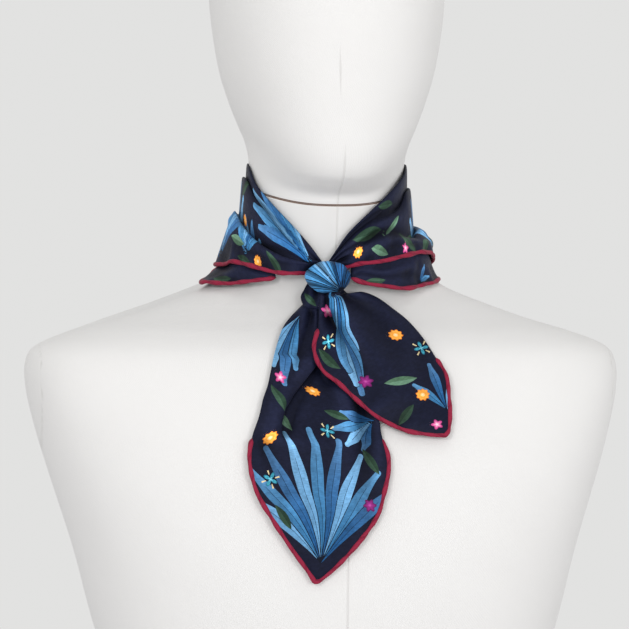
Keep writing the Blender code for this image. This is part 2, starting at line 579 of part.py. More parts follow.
def knot_solid(collection, material):
    """A squashed ball whose pleats run from its upper left and gather at its lower right."""
    steps, count = 16, 24
    turn = np.linspace(0.0, math.pi, steps)[:, None]
    around = np.linspace(0.0, 2.0 * math.pi, count, endpoint=False)[None]
    across = np.sign(np.cos(turn)) * np.abs(np.cos(turn)) ** 0.9 + 0.0 * around
    ring = np.sin(turn) ** 0.85
    forward = ring * np.sin(around)
    upward = ring * np.cos(around)
    pleat = 1.0 + KNOT_PLEAT_DEPTH / KNOT_HALF_SIZE[2] * np.cos(KNOT_PLEATS * 2.0 * around) * ring
    tilt = math.radians(KNOT_TILT)
    right = across * KNOT_HALF_SIZE[0]
    high = upward * pleat * KNOT_HALF_SIZE[2]
    x = right * math.cos(tilt) - high * math.sin(tilt)
    z = right * math.sin(tilt) + high * math.cos(tilt)
    y = forward * pleat * KNOT_HALF_SIZE[1]
    view = math.radians(SCARF_TURN)
    x, y = x + KNOT_CENTRE[0], y + KNOT_CENTRE[1]
    points = np.stack([x * math.cos(view) - y * math.sin(view),
                       x * math.sin(view) + y * math.cos(view),
                       z + KNOT_CENTRE[2]], axis=-1)
    return ring_solid(collection, "knot_band", points[1:-1], material)


# ---------------------------------------------------------------- the model
def build():
    for item in list(bpy.data.objects):
        bpy.data.objects.remove(item, do_unlink=True)
    collection = bpy.data.collections.new(COLLECTION_NAME)
    bpy.context.scene.collection.children.link(collection)

    jersey = make_material("white jersey over foam", (0.85, 0.84, 0.83), 0.85)
    navy_silk = make_material("navy silk twill", (0.021, 0.024, 0.045), 0.45, 0.3)
    blue_silk = make_material("blue printed silk twill", (0.10, 0.25, 0.50), 0.42, 0.3)
    hem_silk = make_material("burgundy rolled silk", (0.33, 0.02, 0.06), 0.5, 0.3)

    torso = ring_solid(collection, "form_torso", form_rings(TORSO, TORSO_RINGS), jersey)
    head = ring_solid(collection, "form_head", form_rings(HEAD, HEAD_RINGS, lift=SEAM_GAP), jersey)

    form = surface_of(torso, head)
    outer, inner, outer_hem = outer_leaf(form)
    under, under_hem = under_leaf(form)
    thick_sheet(collection, "wrap_outer_leaf", outer, inner, navy_silk)
    cloth_sheet(collection, "wrap_under_leaf", under, navy_silk)
    rolled_hem(collection, "hem_outer_leaf", outer_hem, hem_silk)
    rolled_hem(collection, "hem_under_leaf", under_hem, hem_silk)

    knot_solid(collection, blue_silk)
    past_end = len(KNOT_LOOP) + 1
    loop = tail_grid(KNOT_LOOP, [], 8, 7, (past_end, past_end))
    cloth_sheet(collection, "knot_loop", loop, navy_silk)
    for name, table, creases, stations, hem_rows in (
            ("short", SHORT_TAIL, SHORT_TAIL_CREASES, 21, (2, 6)),
            ("long", LONG_TAIL, LONG_TAIL_CREASES, 25, (8, 8))):
        grid = tail_grid(table, creases, stations, TAIL_POINTS, hem_rows)
        cloth_sheet(collection, f"tail_{name}", grid, navy_silk)
        line = tail_hem_line(table, hem_rows, 40)
        rolled_hem(collection, f"hem_tail_{name}", line, hem_silk)


build()
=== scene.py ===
import math
from functools import partial

import bpy
import numpy as np
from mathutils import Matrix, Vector


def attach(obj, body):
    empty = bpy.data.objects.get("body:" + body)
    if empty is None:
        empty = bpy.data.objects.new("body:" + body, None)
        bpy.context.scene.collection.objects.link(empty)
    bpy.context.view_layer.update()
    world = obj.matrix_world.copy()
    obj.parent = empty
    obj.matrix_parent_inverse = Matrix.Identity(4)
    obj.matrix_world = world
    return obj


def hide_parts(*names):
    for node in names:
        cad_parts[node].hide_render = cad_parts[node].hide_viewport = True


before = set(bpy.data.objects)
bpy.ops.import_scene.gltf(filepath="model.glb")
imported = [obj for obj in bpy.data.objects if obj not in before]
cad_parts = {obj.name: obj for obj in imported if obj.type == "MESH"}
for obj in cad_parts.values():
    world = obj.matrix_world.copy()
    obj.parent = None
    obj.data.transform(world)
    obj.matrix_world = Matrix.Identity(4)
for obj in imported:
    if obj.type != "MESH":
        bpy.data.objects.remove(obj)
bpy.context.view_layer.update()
mm = 0.001
knotTurn = -7.0          # degrees from the form's centre front to the middle of the knot
farOff = 99.0            # stands for a seam or a motif that is nowhere near


# ---------------------------------------- curves and tables
def readTable(table, places, knots=None):
    # a smooth cubic through the rows, whose slopes come from the rows on each side; the rows stand at
    # the knots, or at whole numbers
    knots = np.arange(len(table)) if knots is None else knots
    slopes = np.gradient(table, knots, axis=0)
    first = np.clip(np.searchsorted(knots, places, side="right") - 1, 0, len(knots) - 2)
    span = (knots[first + 1] - knots[first])[:, None]
    t = (places - knots[first])[:, None] / span
    start = (1 + 2 * t) * (1 - t) ** 2 * table[first] + t * (1 - t) ** 2 * span * slopes[first]
    end = t * t * (3 - 2 * t) * table[first + 1] + t * t * (t - 1) * span * slopes[first + 1]
    return start + end


def lengthAlong(points, axis=0):
    # distance from the first point along a chain, or along every line of a grid
    steps = np.linalg.norm(np.diff(points, axis=axis), axis=-1)
    start = np.zeros_like(np.take(steps, [0], axis=axis))
    return np.concatenate([start, np.cumsum(steps, axis=axis)], axis=axis)


def evenPlaces(points, count):
    along = lengthAlong(points)
    return np.interp(np.linspace(0.0, along[-1], count), along, np.linspace(0.0, 1.0, len(points)))


def rowsByLength(table, line, count):
    # spacing half by the table's rows and half by the line's length
    byLength = evenPlaces(line, count) * (len(table) - 1)
    byRow = np.linspace(0.0, len(table) - 1.0, count)
    return readTable(table, (byLength + byRow) / 2)


def smoothStep(values):
    values = np.clip(values, 0.0, 1.0)
    return values * values * (3.0 - 2.0 * values)


def bell(values):
    return np.exp(-values * values)


def rounded(line, passes, axis=1):
    # each pass moves every inner point half way to the middle of its neighbours
    line = np.moveaxis(line.copy(), axis, 0)
    for _ in range(passes):
        line[1:-1] = 0.25 * line[:-2] + 0.5 * line[1:-1] + 0.25 * line[2:]
    return np.moveaxis(line, 0, axis)


def unit(vectors):
    return vectors / np.linalg.norm(vectors, axis=-1, keepdims=True)


# ---------------------------------------- the dress form
form = {
    "pointsRound": 160,
    "torsoRings": 150,
    "headRings": 130,
    "neckGap": 0.3,
    "sideBlend": 2.5,        # how closely the heights of the front and back run up to the side
    "profileRings": (46, 38),    # rings of torso and head that the surface is read back from
    "profilePoints": 144,
    "readingPasses": 20,     # rounds of guesses at where a line of sight meets the chest
    "liftPasses": 3,
    "seamLean": (0.062, 480.0),  # how far the head's middle seam strays for each mm above a height
    "darts": (96.0, 0.12, 190.0),    # distance from the middle, how it widens with height, top
    "stumps": (190.0, 0.02, 352.0, 150.0),   # distance, how it narrows below a height, lowest place
}
# rings from the base up: half width, its height at the side, front depth and height, back depth and
# height, squareness, and how far the widest point is set back
torsoRings = np.array([
    (126, 0, 86, 0, 80, 0, 2.3, 0),
    (128, 6, 88, 6, 82, 6, 2.3, 0),
    (120, 60, 84, 60, 72, 60, 2.2, 0),
    (131, 110, 92, 110, 78, 110, 2.25, 2),
    (153, 174, 106, 172, 88, 174, 2.35, 8),
    (168, 230, 110, 224, 95, 230, 2.45, 14),
    (184, 280, 104, 270, 98, 282, 2.6, 22),
    (193, 310, 95, 300, 98, 316, 2.7, 27),
    (198.5, 334, 84, 324, 94, 344, 2.8, 30),
    (199, 352, 74, 344, 88, 366, 2.8, 30),
    (192, 363.5, 66, 359, 82, 383, 2.7, 28),
    (168, 373, 60, 371, 76, 396, 2.5, 24),
    (137, 382, 56, 380, 71, 407, 2.3, 18),
    (105, 393, 53.5, 388, 66, 417, 2.15, 10),
    (80, 403, 52, 395, 61, 426, 2.05, 4),
    (64, 415, 52, 404, 57, 436, 2, 1),
    (55, 432, 54, 419, 52, 450, 2, 0),
    (52, 450, 57, 438, 49, 465, 2, 0),
    (51.5, 466, 60, 454.5, 46, 478, 2, 0),
])
headRings = np.array([
    (51.5, 466, 60, 454.5, 46, 478, 2, 0),
    (51.5, 478, 64, 461, 46, 488, 2, 0),
    (52, 489, 78, 466, 50, 498, 2, 0),
    (54.7, 500, 90, 472, 57, 508, 2, 0),
    (59.3, 511, 96.5, 484, 66, 520, 2.05, 0),
    (65.2, 526.5, 99.5, 504, 76, 536, 2.1, 0),
    (71.5, 548, 101.5, 532, 85, 560, 2.15, 0),
    (76.5, 580, 101.5, 570, 90, 592, 2.2, 0),
    (78.2, 610, 99, 606, 91, 618, 2.2, 0),
    (76.5, 640, 91, 640, 86, 645, 2.2, 0),
    (70, 668, 76, 670, 74, 670, 2.15, 0),
    (55, 690, 55, 691, 55, 691, 2.1, 0),
    (32, 702, 30, 702.5, 32, 702.5, 2, 0),
    (8, 705.7, 8, 705.7, 8, 705.7, 2, 0),
])


def ringsOf(table, count, pointsRound):
    # a superellipse in plan, whose height slides from the front, by the side, to the back
    columns = readTable(table, np.linspace(0.0, len(table) - 1.0, count)).T[..., None]
    width, sideZ, front, frontZ, back, backZ, power, setBack = columns
    turn = np.linspace(-math.pi, math.pi, pointsRound, endpoint=False)[None]
    sine, cosine = np.sin(turn), np.cos(turn)
    isFront = cosine > 0.0
    depth = np.where(isFront, front + setBack, back - setBack)
    x = width * np.sign(sine) * np.abs(sine) ** (2.0 / power)
    y = setBack - depth * np.sign(cosine) * np.abs(cosine) ** (2.0 / power)
    side = np.abs(sine) ** form["sideBlend"]
    z = side * sideZ + (1.0 - side) * np.where(isFront, frontZ, backZ)
    return np.stack([x, y, z], axis=-1)


def formProfile():
    # reach and height of each ring at whole degrees round the Z axis, for reading the surface back
    torso, head = (ringsOf(table, count, form["profilePoints"])
                   for table, count in zip((torsoRings, headRings), form["profileRings"]))
    rings = np.concatenate([torso, head[1:]])
    degrees = np.arange(-180, 181)
    reach, level = np.empty((2, len(rings), len(degrees)))
    for row, corners in enumerate(rings):
        ring = np.linspace(corners, np.roll(corners, -1, axis=0), 4, endpoint=False).reshape(-1, 3)
        angle = np.degrees(np.arctan2(ring[:, 0], -ring[:, 1]))
        order = np.argsort(angle)
        away = np.hypot(ring[:, 0], ring[:, 1])
        reach[row] = np.interp(degrees, angle[order], away[order], period=360)
        level[row] = np.interp(degrees, angle[order], ring[order, 2], period=360)
    return reach, level


formReach, formLevel = formProfile()


def reachAt(angle, height):
    # distance of the form's surface from the Z axis, at an angle from its centre front and a height
    angle, height = np.broadcast_arrays(angle, height)
    degrees = (angle.ravel() + 180.0) % 360.0
    column = np.floor(degrees).astype(int)
    share = degrees - column
    level = height.ravel()
    ringZ = (1 - share) * formLevel[:, column] + share * formLevel[:, column + 1]
    first = np.clip((ringZ < level).sum(axis=0) - 1, 0, len(ringZ) - 2)
    place = np.arange(len(column))
    low, high = ringZ[first, place], ringZ[first + 1, place]
    part = np.clip((level - low) / np.maximum(high - low, 1e-6), 0.0, 1.0)
    away = [(1 - share) * formReach[row, column] + share * formReach[row, column + 1]
            for row in (first, first + 1)]
    return ((1 - part) * away[0] + part * away[1]).reshape(angle.shape)


def aroundNeck(angle, reach, height):
    turn = np.radians(angle + knotTurn)
    return np.stack([reach * np.sin(turn), -reach * np.cos(turn), height], axis=-1)


def outFromForm(angle, distance, height):
    return aroundNeck(angle, reachAt(angle + knotTurn, height) + distance, height)


def fromKnotSide(right, forward, height):
    # a place seen square on from the knot's side: to the right, towards the viewer, and up
    turn = math.radians(knotTurn)
    x = right * math.cos(turn) + forward * math.sin(turn)
    y = right * math.sin(turn) - forward * math.cos(turn)
    return np.stack(np.broadcast_arrays(x, y, height), axis=-1)


def onChest(right, height, standOff):
    # points seen square on from the knot's side, standing off the front of the form
    forward = np.full_like(right, 60.0)
    for _ in range(form["readingPasses"]):
        reach = reachAt(np.degrees(np.arctan2(right, forward)) + knotTurn, height)
        forward = (forward + np.sqrt(np.maximum(reach ** 2 - right ** 2, 1.0))) / 2
    return fromKnotSide(right, forward + standOff, height)


def awayFromForm(points):
    # signed distance from the form and its direction: reach past the surface over its own slope
    x, y, z = np.moveaxis(points, -1, 0)
    reach, angle = np.hypot(x, y), np.degrees(np.arctan2(x, -y))
    up = (reachAt(angle, z + 1.0) - reachAt(angle, z - 1.0)) / 2
    beside = (reachAt(angle + 1.0, z) - reachAt(angle - 1.0, z)) / (2 * math.radians(1.0) * reach)
    normal = np.stack([x / reach + beside * y / reach, y / reach - beside * x / reach, -up], axis=-1)
    slope = np.linalg.norm(normal, axis=-1)
    return (reach - reachAt(angle, z)) / slope, normal / slope[..., None]


def liftOff(points, gap):
    for _ in range(form["liftPasses"]):
        distance, normal = awayFromForm(points)
        points = points + normal * np.maximum(gap - distance, 0.0)[..., None]
    return points


# ---------------------------------------- meshes
def makeMesh(name, points, faces, uv=None, fields=None, around=None):
    # faces is one array of corner numbers or several; uv and fields hold one row for each point, and
    # around is the length of each point's closed ring
    mesh = bpy.data.meshes.new(name)
    groups = faces if isinstance(faces, list) else [faces]
    corners = np.concatenate([group.ravel() for group in groups]).astype(np.int32)
    sizes = np.concatenate([np.full(len(group), group.shape[1]) for group in groups])
    mesh.vertices.add(len(points))
    mesh.vertices.foreach_set("co", (np.asarray(points) * mm).astype(np.float32).ravel())
    mesh.loops.add(corners.size)
    mesh.loops.foreach_set("vertex_index", corners)
    mesh.polygons.add(len(sizes))
    mesh.polygons.foreach_set("loop_start", (np.cumsum(sizes) - sizes).astype(np.int32))
    mesh.update(calc_edges=True)
    if uv is not None:
        spots = uv[corners].astype(np.float32)
        if around is not None:
            most = np.repeat(np.maximum.reduceat(spots[:, 0], np.cumsum(sizes) - sizes), sizes)
            whole = around[corners]
            spots[:, 0] += np.where(most - spots[:, 0] > whole / 2, whole, 0.0)
        layer = mesh.uv_layers.new(name="UVMap")
        layer.data.foreach_set("uv", spots.ravel())
    for label, values in (fields or {}).items():
        kind, part = ("FLOAT_VECTOR", "vector") if values.ndim == 2 else ("FLOAT", "value")
        attribute = mesh.attributes.new(label, kind, "POINT")
        attribute.data.foreach_set(part, values.astype(np.float32).ravel())
    mesh.validate()
    mesh.shade_smooth()
    return mesh


def gridFaces(rows, columns, wrap=False, flip=False):
    # quads between neighbouring points of a grid, the last column joined to the first if it wraps
    row, column = np.meshgrid(np.arange(rows - 1), np.arange(columns if wrap else columns - 1),
                              indexing="ij")
    beside = (column + 1) % columns
    quads = np.stack([row * columns + column, row * columns + beside,
                      (row + 1) * columns + beside, (row + 1) * columns + column], axis=-1)
    quads = quads.reshape(-1, 4)
    return quads[:, ::-1] if flip else quads


def addObject(name, data):
    item = bpy.data.objects.new(name, data)
    bpy.context.scene.collection.objects.link(item)
    return item


def addPiece(name, mesh, material, replaces):
    piece = addObject(name, mesh)
    mesh.materials.append(material)
    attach(piece, "root")
    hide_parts(*replaces)
    return piece


def oneRowEach(fields, ends=()):
    # fields given on a grid, as one row for each point and then those of the points named as ends
    rows = {}
    for label, values in fields.items():
        values = values.reshape(-1, 3) if values.ndim == 3 else values.ravel()
        rows[label] = np.concatenate([values, values[list(ends)]]) if ends else values
    return rows


def closedTube(rings):
    # a tube's points and faces, each end closed by a fan round a point in its middle
    steps, count = rings.shape[:2]
    points = np.concatenate([rings.reshape(-1, 3), rings[[0, -1]].mean(axis=1)])
    column = np.arange(count)
    beside = (column + 1) % count
    last = (steps - 1) * count
    fans = [np.stack([np.full(count, steps * count), beside, column], axis=1),
            np.stack([np.full(count, steps * count + 1), last + column, last + beside], axis=1)]
    return points, [gridFaces(steps, count, wrap=True), *fans]


# ---------------------------------------- the print, laid out on the flat cloth
printSizes = {
    "petalOutline": 0.28,    # mm, half of the dark line round each petal
    "midrib": 0.13,          # mm, half of the dark line along its middle
    "leafWidth": 0.30,       # half width of a leaf as a share of its half length
    "sideShorter": 0.55,     # how much shorter a spray's outermost petals are than its middle one
    "sidePower": 1.3,
    "unlike": 0.05,          # share by which the lengths of neighbouring petals differ
    "baseWidth": 0.10,       # a petal's width where it starts, as a share of its widest
    "widestAt": 0.72,        # share of its length where it is widest
    "swell": 1.3,            # power of the sine that it widens by
    "tip": (0.68, 0.32, 0.5),    # where it starts to narrow, over what run, and by how much
    "motifReach": 1.3,       # how far a motif claims the cloth, in its own lengths
    "noPetal": 60.0,         # mm, stands for a petal that is nowhere near
}


def turnedPlace(uv, place, heading):
    # how far each point lies ahead of a place, along a heading in degrees, and to the left of that
    turn = math.radians(heading)
    x, y = uv[..., 0] - place[0], uv[..., 1] - place[1]
    return x * math.cos(turn) + y * math.sin(turn), y * math.cos(turn) - x * math.sin(turn)


def petalFields(uv, sprays):
    # a spray is a fan of petals from one base point; each petal is a bent line with a swelling width
    # and a round tip, and a later petal lies over an earlier one
    mask = np.full(uv.shape[:-1], printSizes["noPetal"])
    edge, tone = mask.copy(), np.zeros_like(mask)
    along, across = np.zeros_like(mask), np.zeros_like(mask)
    tipFrom, tipRun, tipLoss = printSizes["tip"]
    for place, heading, spread, count, length, width, bend, firstTone in sprays:
        for petal in range(count):
            share = petal / max(count - 1, 1) - 0.5
            reach = length * (1.0 - printSizes["sideShorter"] * abs(share) ** printSizes["sidePower"])
            reach = reach * (1.0 + printSizes["unlike"] * math.sin(7.0 * petal))
            ahead, aside = turnedPlace(uv, place, heading + spread * share)
            t = np.clip(ahead / reach, 0.0, 1.0)
            aside = aside - bend * share * reach * t * t
            swell = np.sin(math.pi / 2 * np.minimum(t / printSizes["widestAt"], 1.0))
            half = printSizes["baseWidth"] + (1.0 - printSizes["baseWidth"]) * swell ** printSizes["swell"]
            half = width * half * (1.0 - tipLoss * smoothStep((t - tipFrom) / tipRun))
            beyond = ahead - np.clip(ahead, 0.0, reach)
            field = np.hypot(beyond, aside) - half
            over = field < 0.0
            edge = np.where(over, -field, np.minimum(edge, np.abs(field)))
            tone = np.where(over, (firstTone + petal) % 3, tone)
            along = np.where(over, t, along)
            across = np.where(over, aside, across)
            mask = np.minimum(mask, field)
    return {"petal": np.stack([mask, edge, tone], axis=-1),
            "petalPlace": np.stack([along, across, np.zeros_like(mask)], axis=-1)}


def motifField(uv, motifs, slimness=1.0):
    # for each point, its place in its motif's own square and that motif's number plus one; where no
    # motif or more than one reaches, a place far outside any square, so that nothing shows there
    found = np.zeros(uv.shape[:-1] + (3,))
    found[..., :2] = farOff
    claims = np.zeros(uv.shape[:-1])
    for place, heading, reach, kind in motifs:
        ahead, aside = (distance / reach for distance in turnedPlace(uv, place, heading))
        near = np.hypot(ahead, aside / slimness) < printSizes["motifReach"]
        claims = claims + near
        found[near] = np.stack([ahead, aside, np.full_like(ahead, kind + 1.0)], axis=-1)[near]
    found[claims > 1.5] = (farOff, farOff, 0.0)
    return found


def printOn(uv, sprays, leaves, blooms):
    # places are shares of the grid, down and across, looked up in its flat cloth
    rows, columns = uv.shape[:2]

    def flat(share):
        down, across = share[0] * (rows - 1), share[1] * (columns - 1)
        row, column = min(int(down), rows - 2), min(int(across), columns - 2)
        corner = uv[row, column]
        return (corner + (uv[row + 1, column] - corner) * (down - row)
                + (uv[row, column + 1] - corner) * (across - column))

    fields = petalFields(uv, [(flat(share), *rest) for share, *rest in sprays])
    fields["leaf"] = motifField(uv, [(flat(share), *rest) for share, *rest in leaves], slimness=0.6)
    fields["bloom"] = motifField(uv, [(flat(share), *rest) for share, *rest in blooms])
    return fields


# ---------------------------------------- materials
def colour(code):
    # sRGB hex to the linear values that a shader reads
    parts = [int(code[start:start + 2], 16) / 255 for start in (0, 2, 4)]
    linear = [part / 12.92 if part <= 0.04045 else ((part + 0.055) / 1.055) ** 2.4 for part in parts]
    return (*linear, 1.0)


def addNode(tree, kind, inputs=(), mode=None, out=0, **settings):
    # one node; mode is its operation, and a Mix node always mixes colours. Inputs are values or
    # sockets, in order or by number or name; out is the output handed back, or None for the node
    node = tree.nodes.new("ShaderNode" + kind)
    if kind == "Mix":
        node.data_type = "RGBA"
        out = 2
    if mode:
        node.operation = mode
    for label, value in settings.items():
        setattr(node, label, value)
    for socket, value in inputs.items() if isinstance(inputs, dict) else enumerate(inputs):
        if isinstance(value, bpy.types.NodeSocket):
            tree.links.new(value, node.inputs[socket])
        else:
            node.inputs[socket].default_value = value
    return node if out is None else node.outputs[out]


def newMaterial(name, roughness, specular, sheen=0.0, sheenRoughness=0.5):
    # with its shader and with addNode for its own tree
    material = bpy.data.materials.new(name)
    material.use_nodes = True
    shader = material.node_tree.nodes["Principled BSDF"]
    shader.inputs["Metallic"].default_value = 0.0
    shader.inputs["Roughness"].default_value = roughness
    shader.inputs["Specular IOR Level"].default_value = specular
    shader.inputs["Sheen Weight"].default_value = sheen
    shader.inputs["Sheen Roughness"].default_value = sheenRoughness
    return material, shader, partial(addNode, material.node_tree)


def dyeAndRelief(material, shader, add, dye, height):
    # the colour, and a relief whose heights are in mm
    bump = add("Bump", {"Height": height, "Strength": 1.0, "Distance": mm})
    material.node_tree.links.new(dye, shader.inputs["Base Color"])
    material.node_tree.links.new(bump, shader.inputs["Normal"])
    return material


twill = {
    "ground": "15182a",      # navy dye
    "petals": ("6599c4", "34709f", "1d5488"),
    "petalTip": "8fb9d8",
    "tipShare": 0.22,        # how far a petal's end goes towards that
    "petalSides": (0.87, 1.04),  # light on the two sides of its midrib
    "sideBlend": 0.3,        # mm to each side of the midrib over which one passes into the other
    "midribRun": (0.45, 0.37),   # middle and half length of the midrib, as shares of the petal
    "outline": "0f1320",
    "leaves": (("5c7d68", "47644f"), ("324a3b", "24382c")),
    "stamen": "d9c79c",
    "stamenRun": (0.93, 0.30),   # middle and half length of a stamen, in the blossom's radius
    "stamenEdge": -0.93,     # cosine between the petals that a stamen starts at
    "mottle": 0.16,          # how much the dye varies in soft clouds
    "mottleScale": 0.35,     # clouds for each mm
    "slub": 0.26,            # how much it varies from thread to thread
    "slubScale": (0.25, 3.2, 1.0),   # long along the threads and fine across them
    "slubTurn": 0.785,       # radians
    "pitch": 0.85,           # mm between twill lines, drawn coarser than the silk's so that they show
    "twillHeight": 0.035,    # mm
    "crumpleReach": 8.0,     # mm across the soft dents of handled silk
    "crumpleHeight": 0.32,   # mm
    "paintedFoldShade": 0.24,       # painted shade: share of the dye's colour kept at the bottom of a fold
    "paintedCrestLight": 0.4,       # painted highlight: how much of the opposite a crest gets
    "foldDepth": 2.0,        # mm below the cloth around it that count as the bottom, where the painted shade is full
    "foldPasses": 90,        # how far round it the cloth is averaged
}
# number, lobes, how deep the lobes cut, then the colours from the middle to the rim
blossoms = (
    (1, 9.0, 0.09, (("f6e3bd", 0.0), ("f2c277", 0.30), ("ef9a35", 0.42), ("f5ab4e", 0.80), ("d97a1f", 0.93))),
    (2, 4.0, 0.42, (("9fdcf0", 0.0), ("6fc3dc", 0.28), ("2d86a0", 0.36), ("48a6bd", 0.75), ("1f6b85", 0.92))),
    (3, 5.0, 0.20, (("f4d9e2", 0.0), ("e79ab8", 0.34), ("d4669a", 0.60), ("b83f7f", 0.90))),
    (4, 6.0, 0.16, (("c45aa6", 0.0), ("9a2f83", 0.30), ("852771", 0.70), ("5d1a52", 0.92))),
)
starBlossom = 2              # the one with stamens


def printedTwill(name):
    # printed silk twill: fine diagonal ribs under a soft satin sheen, dye that soaks in with crisp edges
    material, shader, add = newMaterial(name, roughness=0.45, specular=0.07, sheen=0.025, sheenRoughness=0.4)
    uvMap = add("UVMap", uv_map="UVMap")
    u, v, _ = add("SeparateXYZ", (uvMap,), out=None).outputs
    stored = {}
    for label in ("petal", "petalPlace", "leaf", "bloom"):
        attribute = add("Attribute", out=1, attribute_name=label)
        stored[label] = add("SeparateXYZ", (attribute,), out=None).outputs

    # petals in three blues with lighter tips, darker on one side of the midrib, in a dark line
    mask, edge, tone = stored["petal"]
    along, across, _ = stored["petalPlace"]
    blue = add("ValToRGB", (add("Math", (tone, 0.5), "MULTIPLY"),), out=None)
    blue.color_ramp.interpolation = "CONSTANT"
    blue.color_ramp.elements[1].position = 0.25
    blue.color_ramp.elements.new(0.75)
    for element, code in zip(blue.color_ramp.elements, twill["petals"]):
        element.color = colour(code)
    lighter = add("Math", (add("Math", (along, 2.0), "POWER"), twill["tipShare"]), "MULTIPLY")
    blue = add("Mix", {0: lighter, 6: blue.outputs[0], 7: colour(twill["petalTip"])})
    dim, bright = twill["petalSides"]
    side = add("MapRange", {0: across, 1: -twill["sideBlend"], 2: twill["sideBlend"], 3: dim, 4: bright})
    blue = add("VectorMath", {0: blue, 3: side}, "SCALE")
    edge = add("Math", (edge, add("Math", (mask, -1.0), "MULTIPLY")), "MINIMUM")
    inLine = add("Math", (edge, printSizes["petalOutline"]), "LESS_THAN")
    middle = add("Math", (across, 0.0, printSizes["midrib"]), "COMPARE")
    middle = add("Math", (middle, add("Math", (along, *twill["midribRun"]), "COMPARE")), "MULTIPLY")
    inLine = add("Math", (inLine, middle), "MAXIMUM")
    blue = add("Mix", {0: inLine, 6: blue, 7: colour(twill["outline"])})
    inPetal = add("Math", (mask, 0.0), "LESS_THAN")
    dyed = add("Mix", {0: inPetal, 6: colour(twill["ground"]), 7: blue})

    # leaves: a lens, lighter on one side of its midrib, with one pair of greens for each kind
    x, y, number = stored["leaf"]
    lens = add("Math", (1.0, add("Math", (x, x), "MULTIPLY")), "SUBTRACT")
    lens = add("Math", (lens, printSizes["leafWidth"]), "MULTIPLY")
    shape = add("Math", (add("Math", (y,), "ABSOLUTE"), lens), "LESS_THAN")
    side = add("Math", (y, 0.0), "GREATER_THAN")
    pairs = [add("Mix", {0: side, 6: colour(dark), 7: colour(light)}) for light, dark in twill["leaves"]]
    second = add("Math", (number, 1.5), "GREATER_THAN")
    green = add("Mix", {0: second, 6: pairs[0], 7: pairs[1]})
    inside = add("Math", (number, 0.5), "GREATER_THAN")
    dyed = add("Mix", {0: add("Math", (inside, shape), "MULTIPLY"), 6: dyed, 7: green})

    # blossoms: rings of colour inside a rim that waves with the angle
    x, y, number = stored["bloom"]
    turn = add("Math", (y, x), "ARCTAN2")
    far = add("VectorMath", (add("CombineXYZ", (x, y)),), "LENGTH", out=1)
    for kind, lobes, depth, colours in blossoms:
        wave = add("Math", (add("Math", (turn, lobes), "MULTIPLY"),), "COSINE")
        rim = add("Math", (wave, depth, 1.0 - depth), "MULTIPLY_ADD")
        place = add("Math", (far, rim), "DIVIDE")
        ramp = add("ValToRGB", (place,), out=None)
        ramp.color_ramp.elements[1].position = colours[-1][1]
        for _, stop in colours[1:-1]:
            ramp.color_ramp.elements.new(stop)
        for element, (code, stop) in zip(ramp.color_ramp.elements, colours):
            element.position = stop
            element.color = colour(code)
        within = add("Math", (place, 1.0), "LESS_THAN")
        chosen = add("Math", (number, float(kind), 0.4), "COMPARE")
        dyed = add("Mix", {0: add("Math", (within, chosen), "MULTIPLY"), 6: dyed, 7: ramp.outputs[0]})
        if kind == starBlossom:      # cream stamens between its four petals
            ray = add("Math", (wave, twill["stamenEdge"]), "LESS_THAN")
            ray = add("Math", (ray, add("Math", (far, *twill["stamenRun"]), "COMPARE")), "MULTIPLY")
            ray = add("Math", (ray, chosen), "MULTIPLY")
            dyed = add("Mix", {0: ray, 6: dyed, 7: colour(twill["stamen"])})

    # the dye's unevenness, then painted shade down in the folds and painted highlight on the crests
    clouds = add("TexNoise", {"Vector": uvMap, "Scale": twill["mottleScale"], "Detail": 3.0})
    bias = add("Mapping", {"Vector": uvMap, "Scale": twill["slubScale"],
                           "Rotation": (0.0, 0.0, twill["slubTurn"])})
    threads = add("TexNoise", {"Vector": bias, "Scale": 1.0, "Detail": 2.0})
    uneven = [add("MapRange", {0: noise, 1: low, 2: 1.0 - low, 3: 1.0 - most, 4: 1.0 + most})
              for noise, low, most in ((clouds, 0.3, twill["mottle"]), (threads, 0.25, twill["slub"]))]
    strength = add("Math", uneven, "MULTIPLY")
    # painted shade: the colour is darkened where the cloth lies in a fold and lightened where it stands on a
    # crest
    paintedShadeHollow = add("Attribute", out=2, attribute_name="paintedShadeHollow")
    paintedShadeHollow = add("Clamp", (paintedShadeHollow, -twill["paintedCrestLight"], 1.0))
    paintedShadeHollow = add("Math", (twill["paintedFoldShade"], paintedShadeHollow), "POWER")
    strength = add("Math", (strength, paintedShadeHollow), "MULTIPLY")
    dyed = add("VectorMath", {0: dyed, 3: strength}, "SCALE")

    diagonal = add("Math", (add("Math", (u, v), "ADD"), 2 * math.pi / twill["pitch"]), "MULTIPLY")
    ribs = add("Math", (add("Math", (diagonal,), "SINE"), twill["twillHeight"]), "MULTIPLY")
    dents = add("TexNoise", {"Vector": uvMap, "Scale": 1.0 / twill["crumpleReach"], "Detail": 2.5,
                             "Roughness": 0.45})
    height = add("Math", (dents, twill["crumpleHeight"], ribs), "MULTIPLY_ADD")
    return dyeAndRelief(material, shader, add, dyed, height)


hemLook = {
    "dye": "94243f",
    "shade": "66142b",
    "stitchPitch": 4.6,      # mm between whipping stitches
    "stitchHeight": 0.22,    # mm
    "stitchSlant": 0.35,     # mm along the hem for each mm round it
    "stitchShade": 0.45,
    "twistPitch": 1.3,       # mm between the roll's threads
    "twistHeight": 0.03,
    "lumpScale": 0.55,       # lumps for each mm
    "lumpHeight": 0.25,
    "lumpShade": 0.5,
}


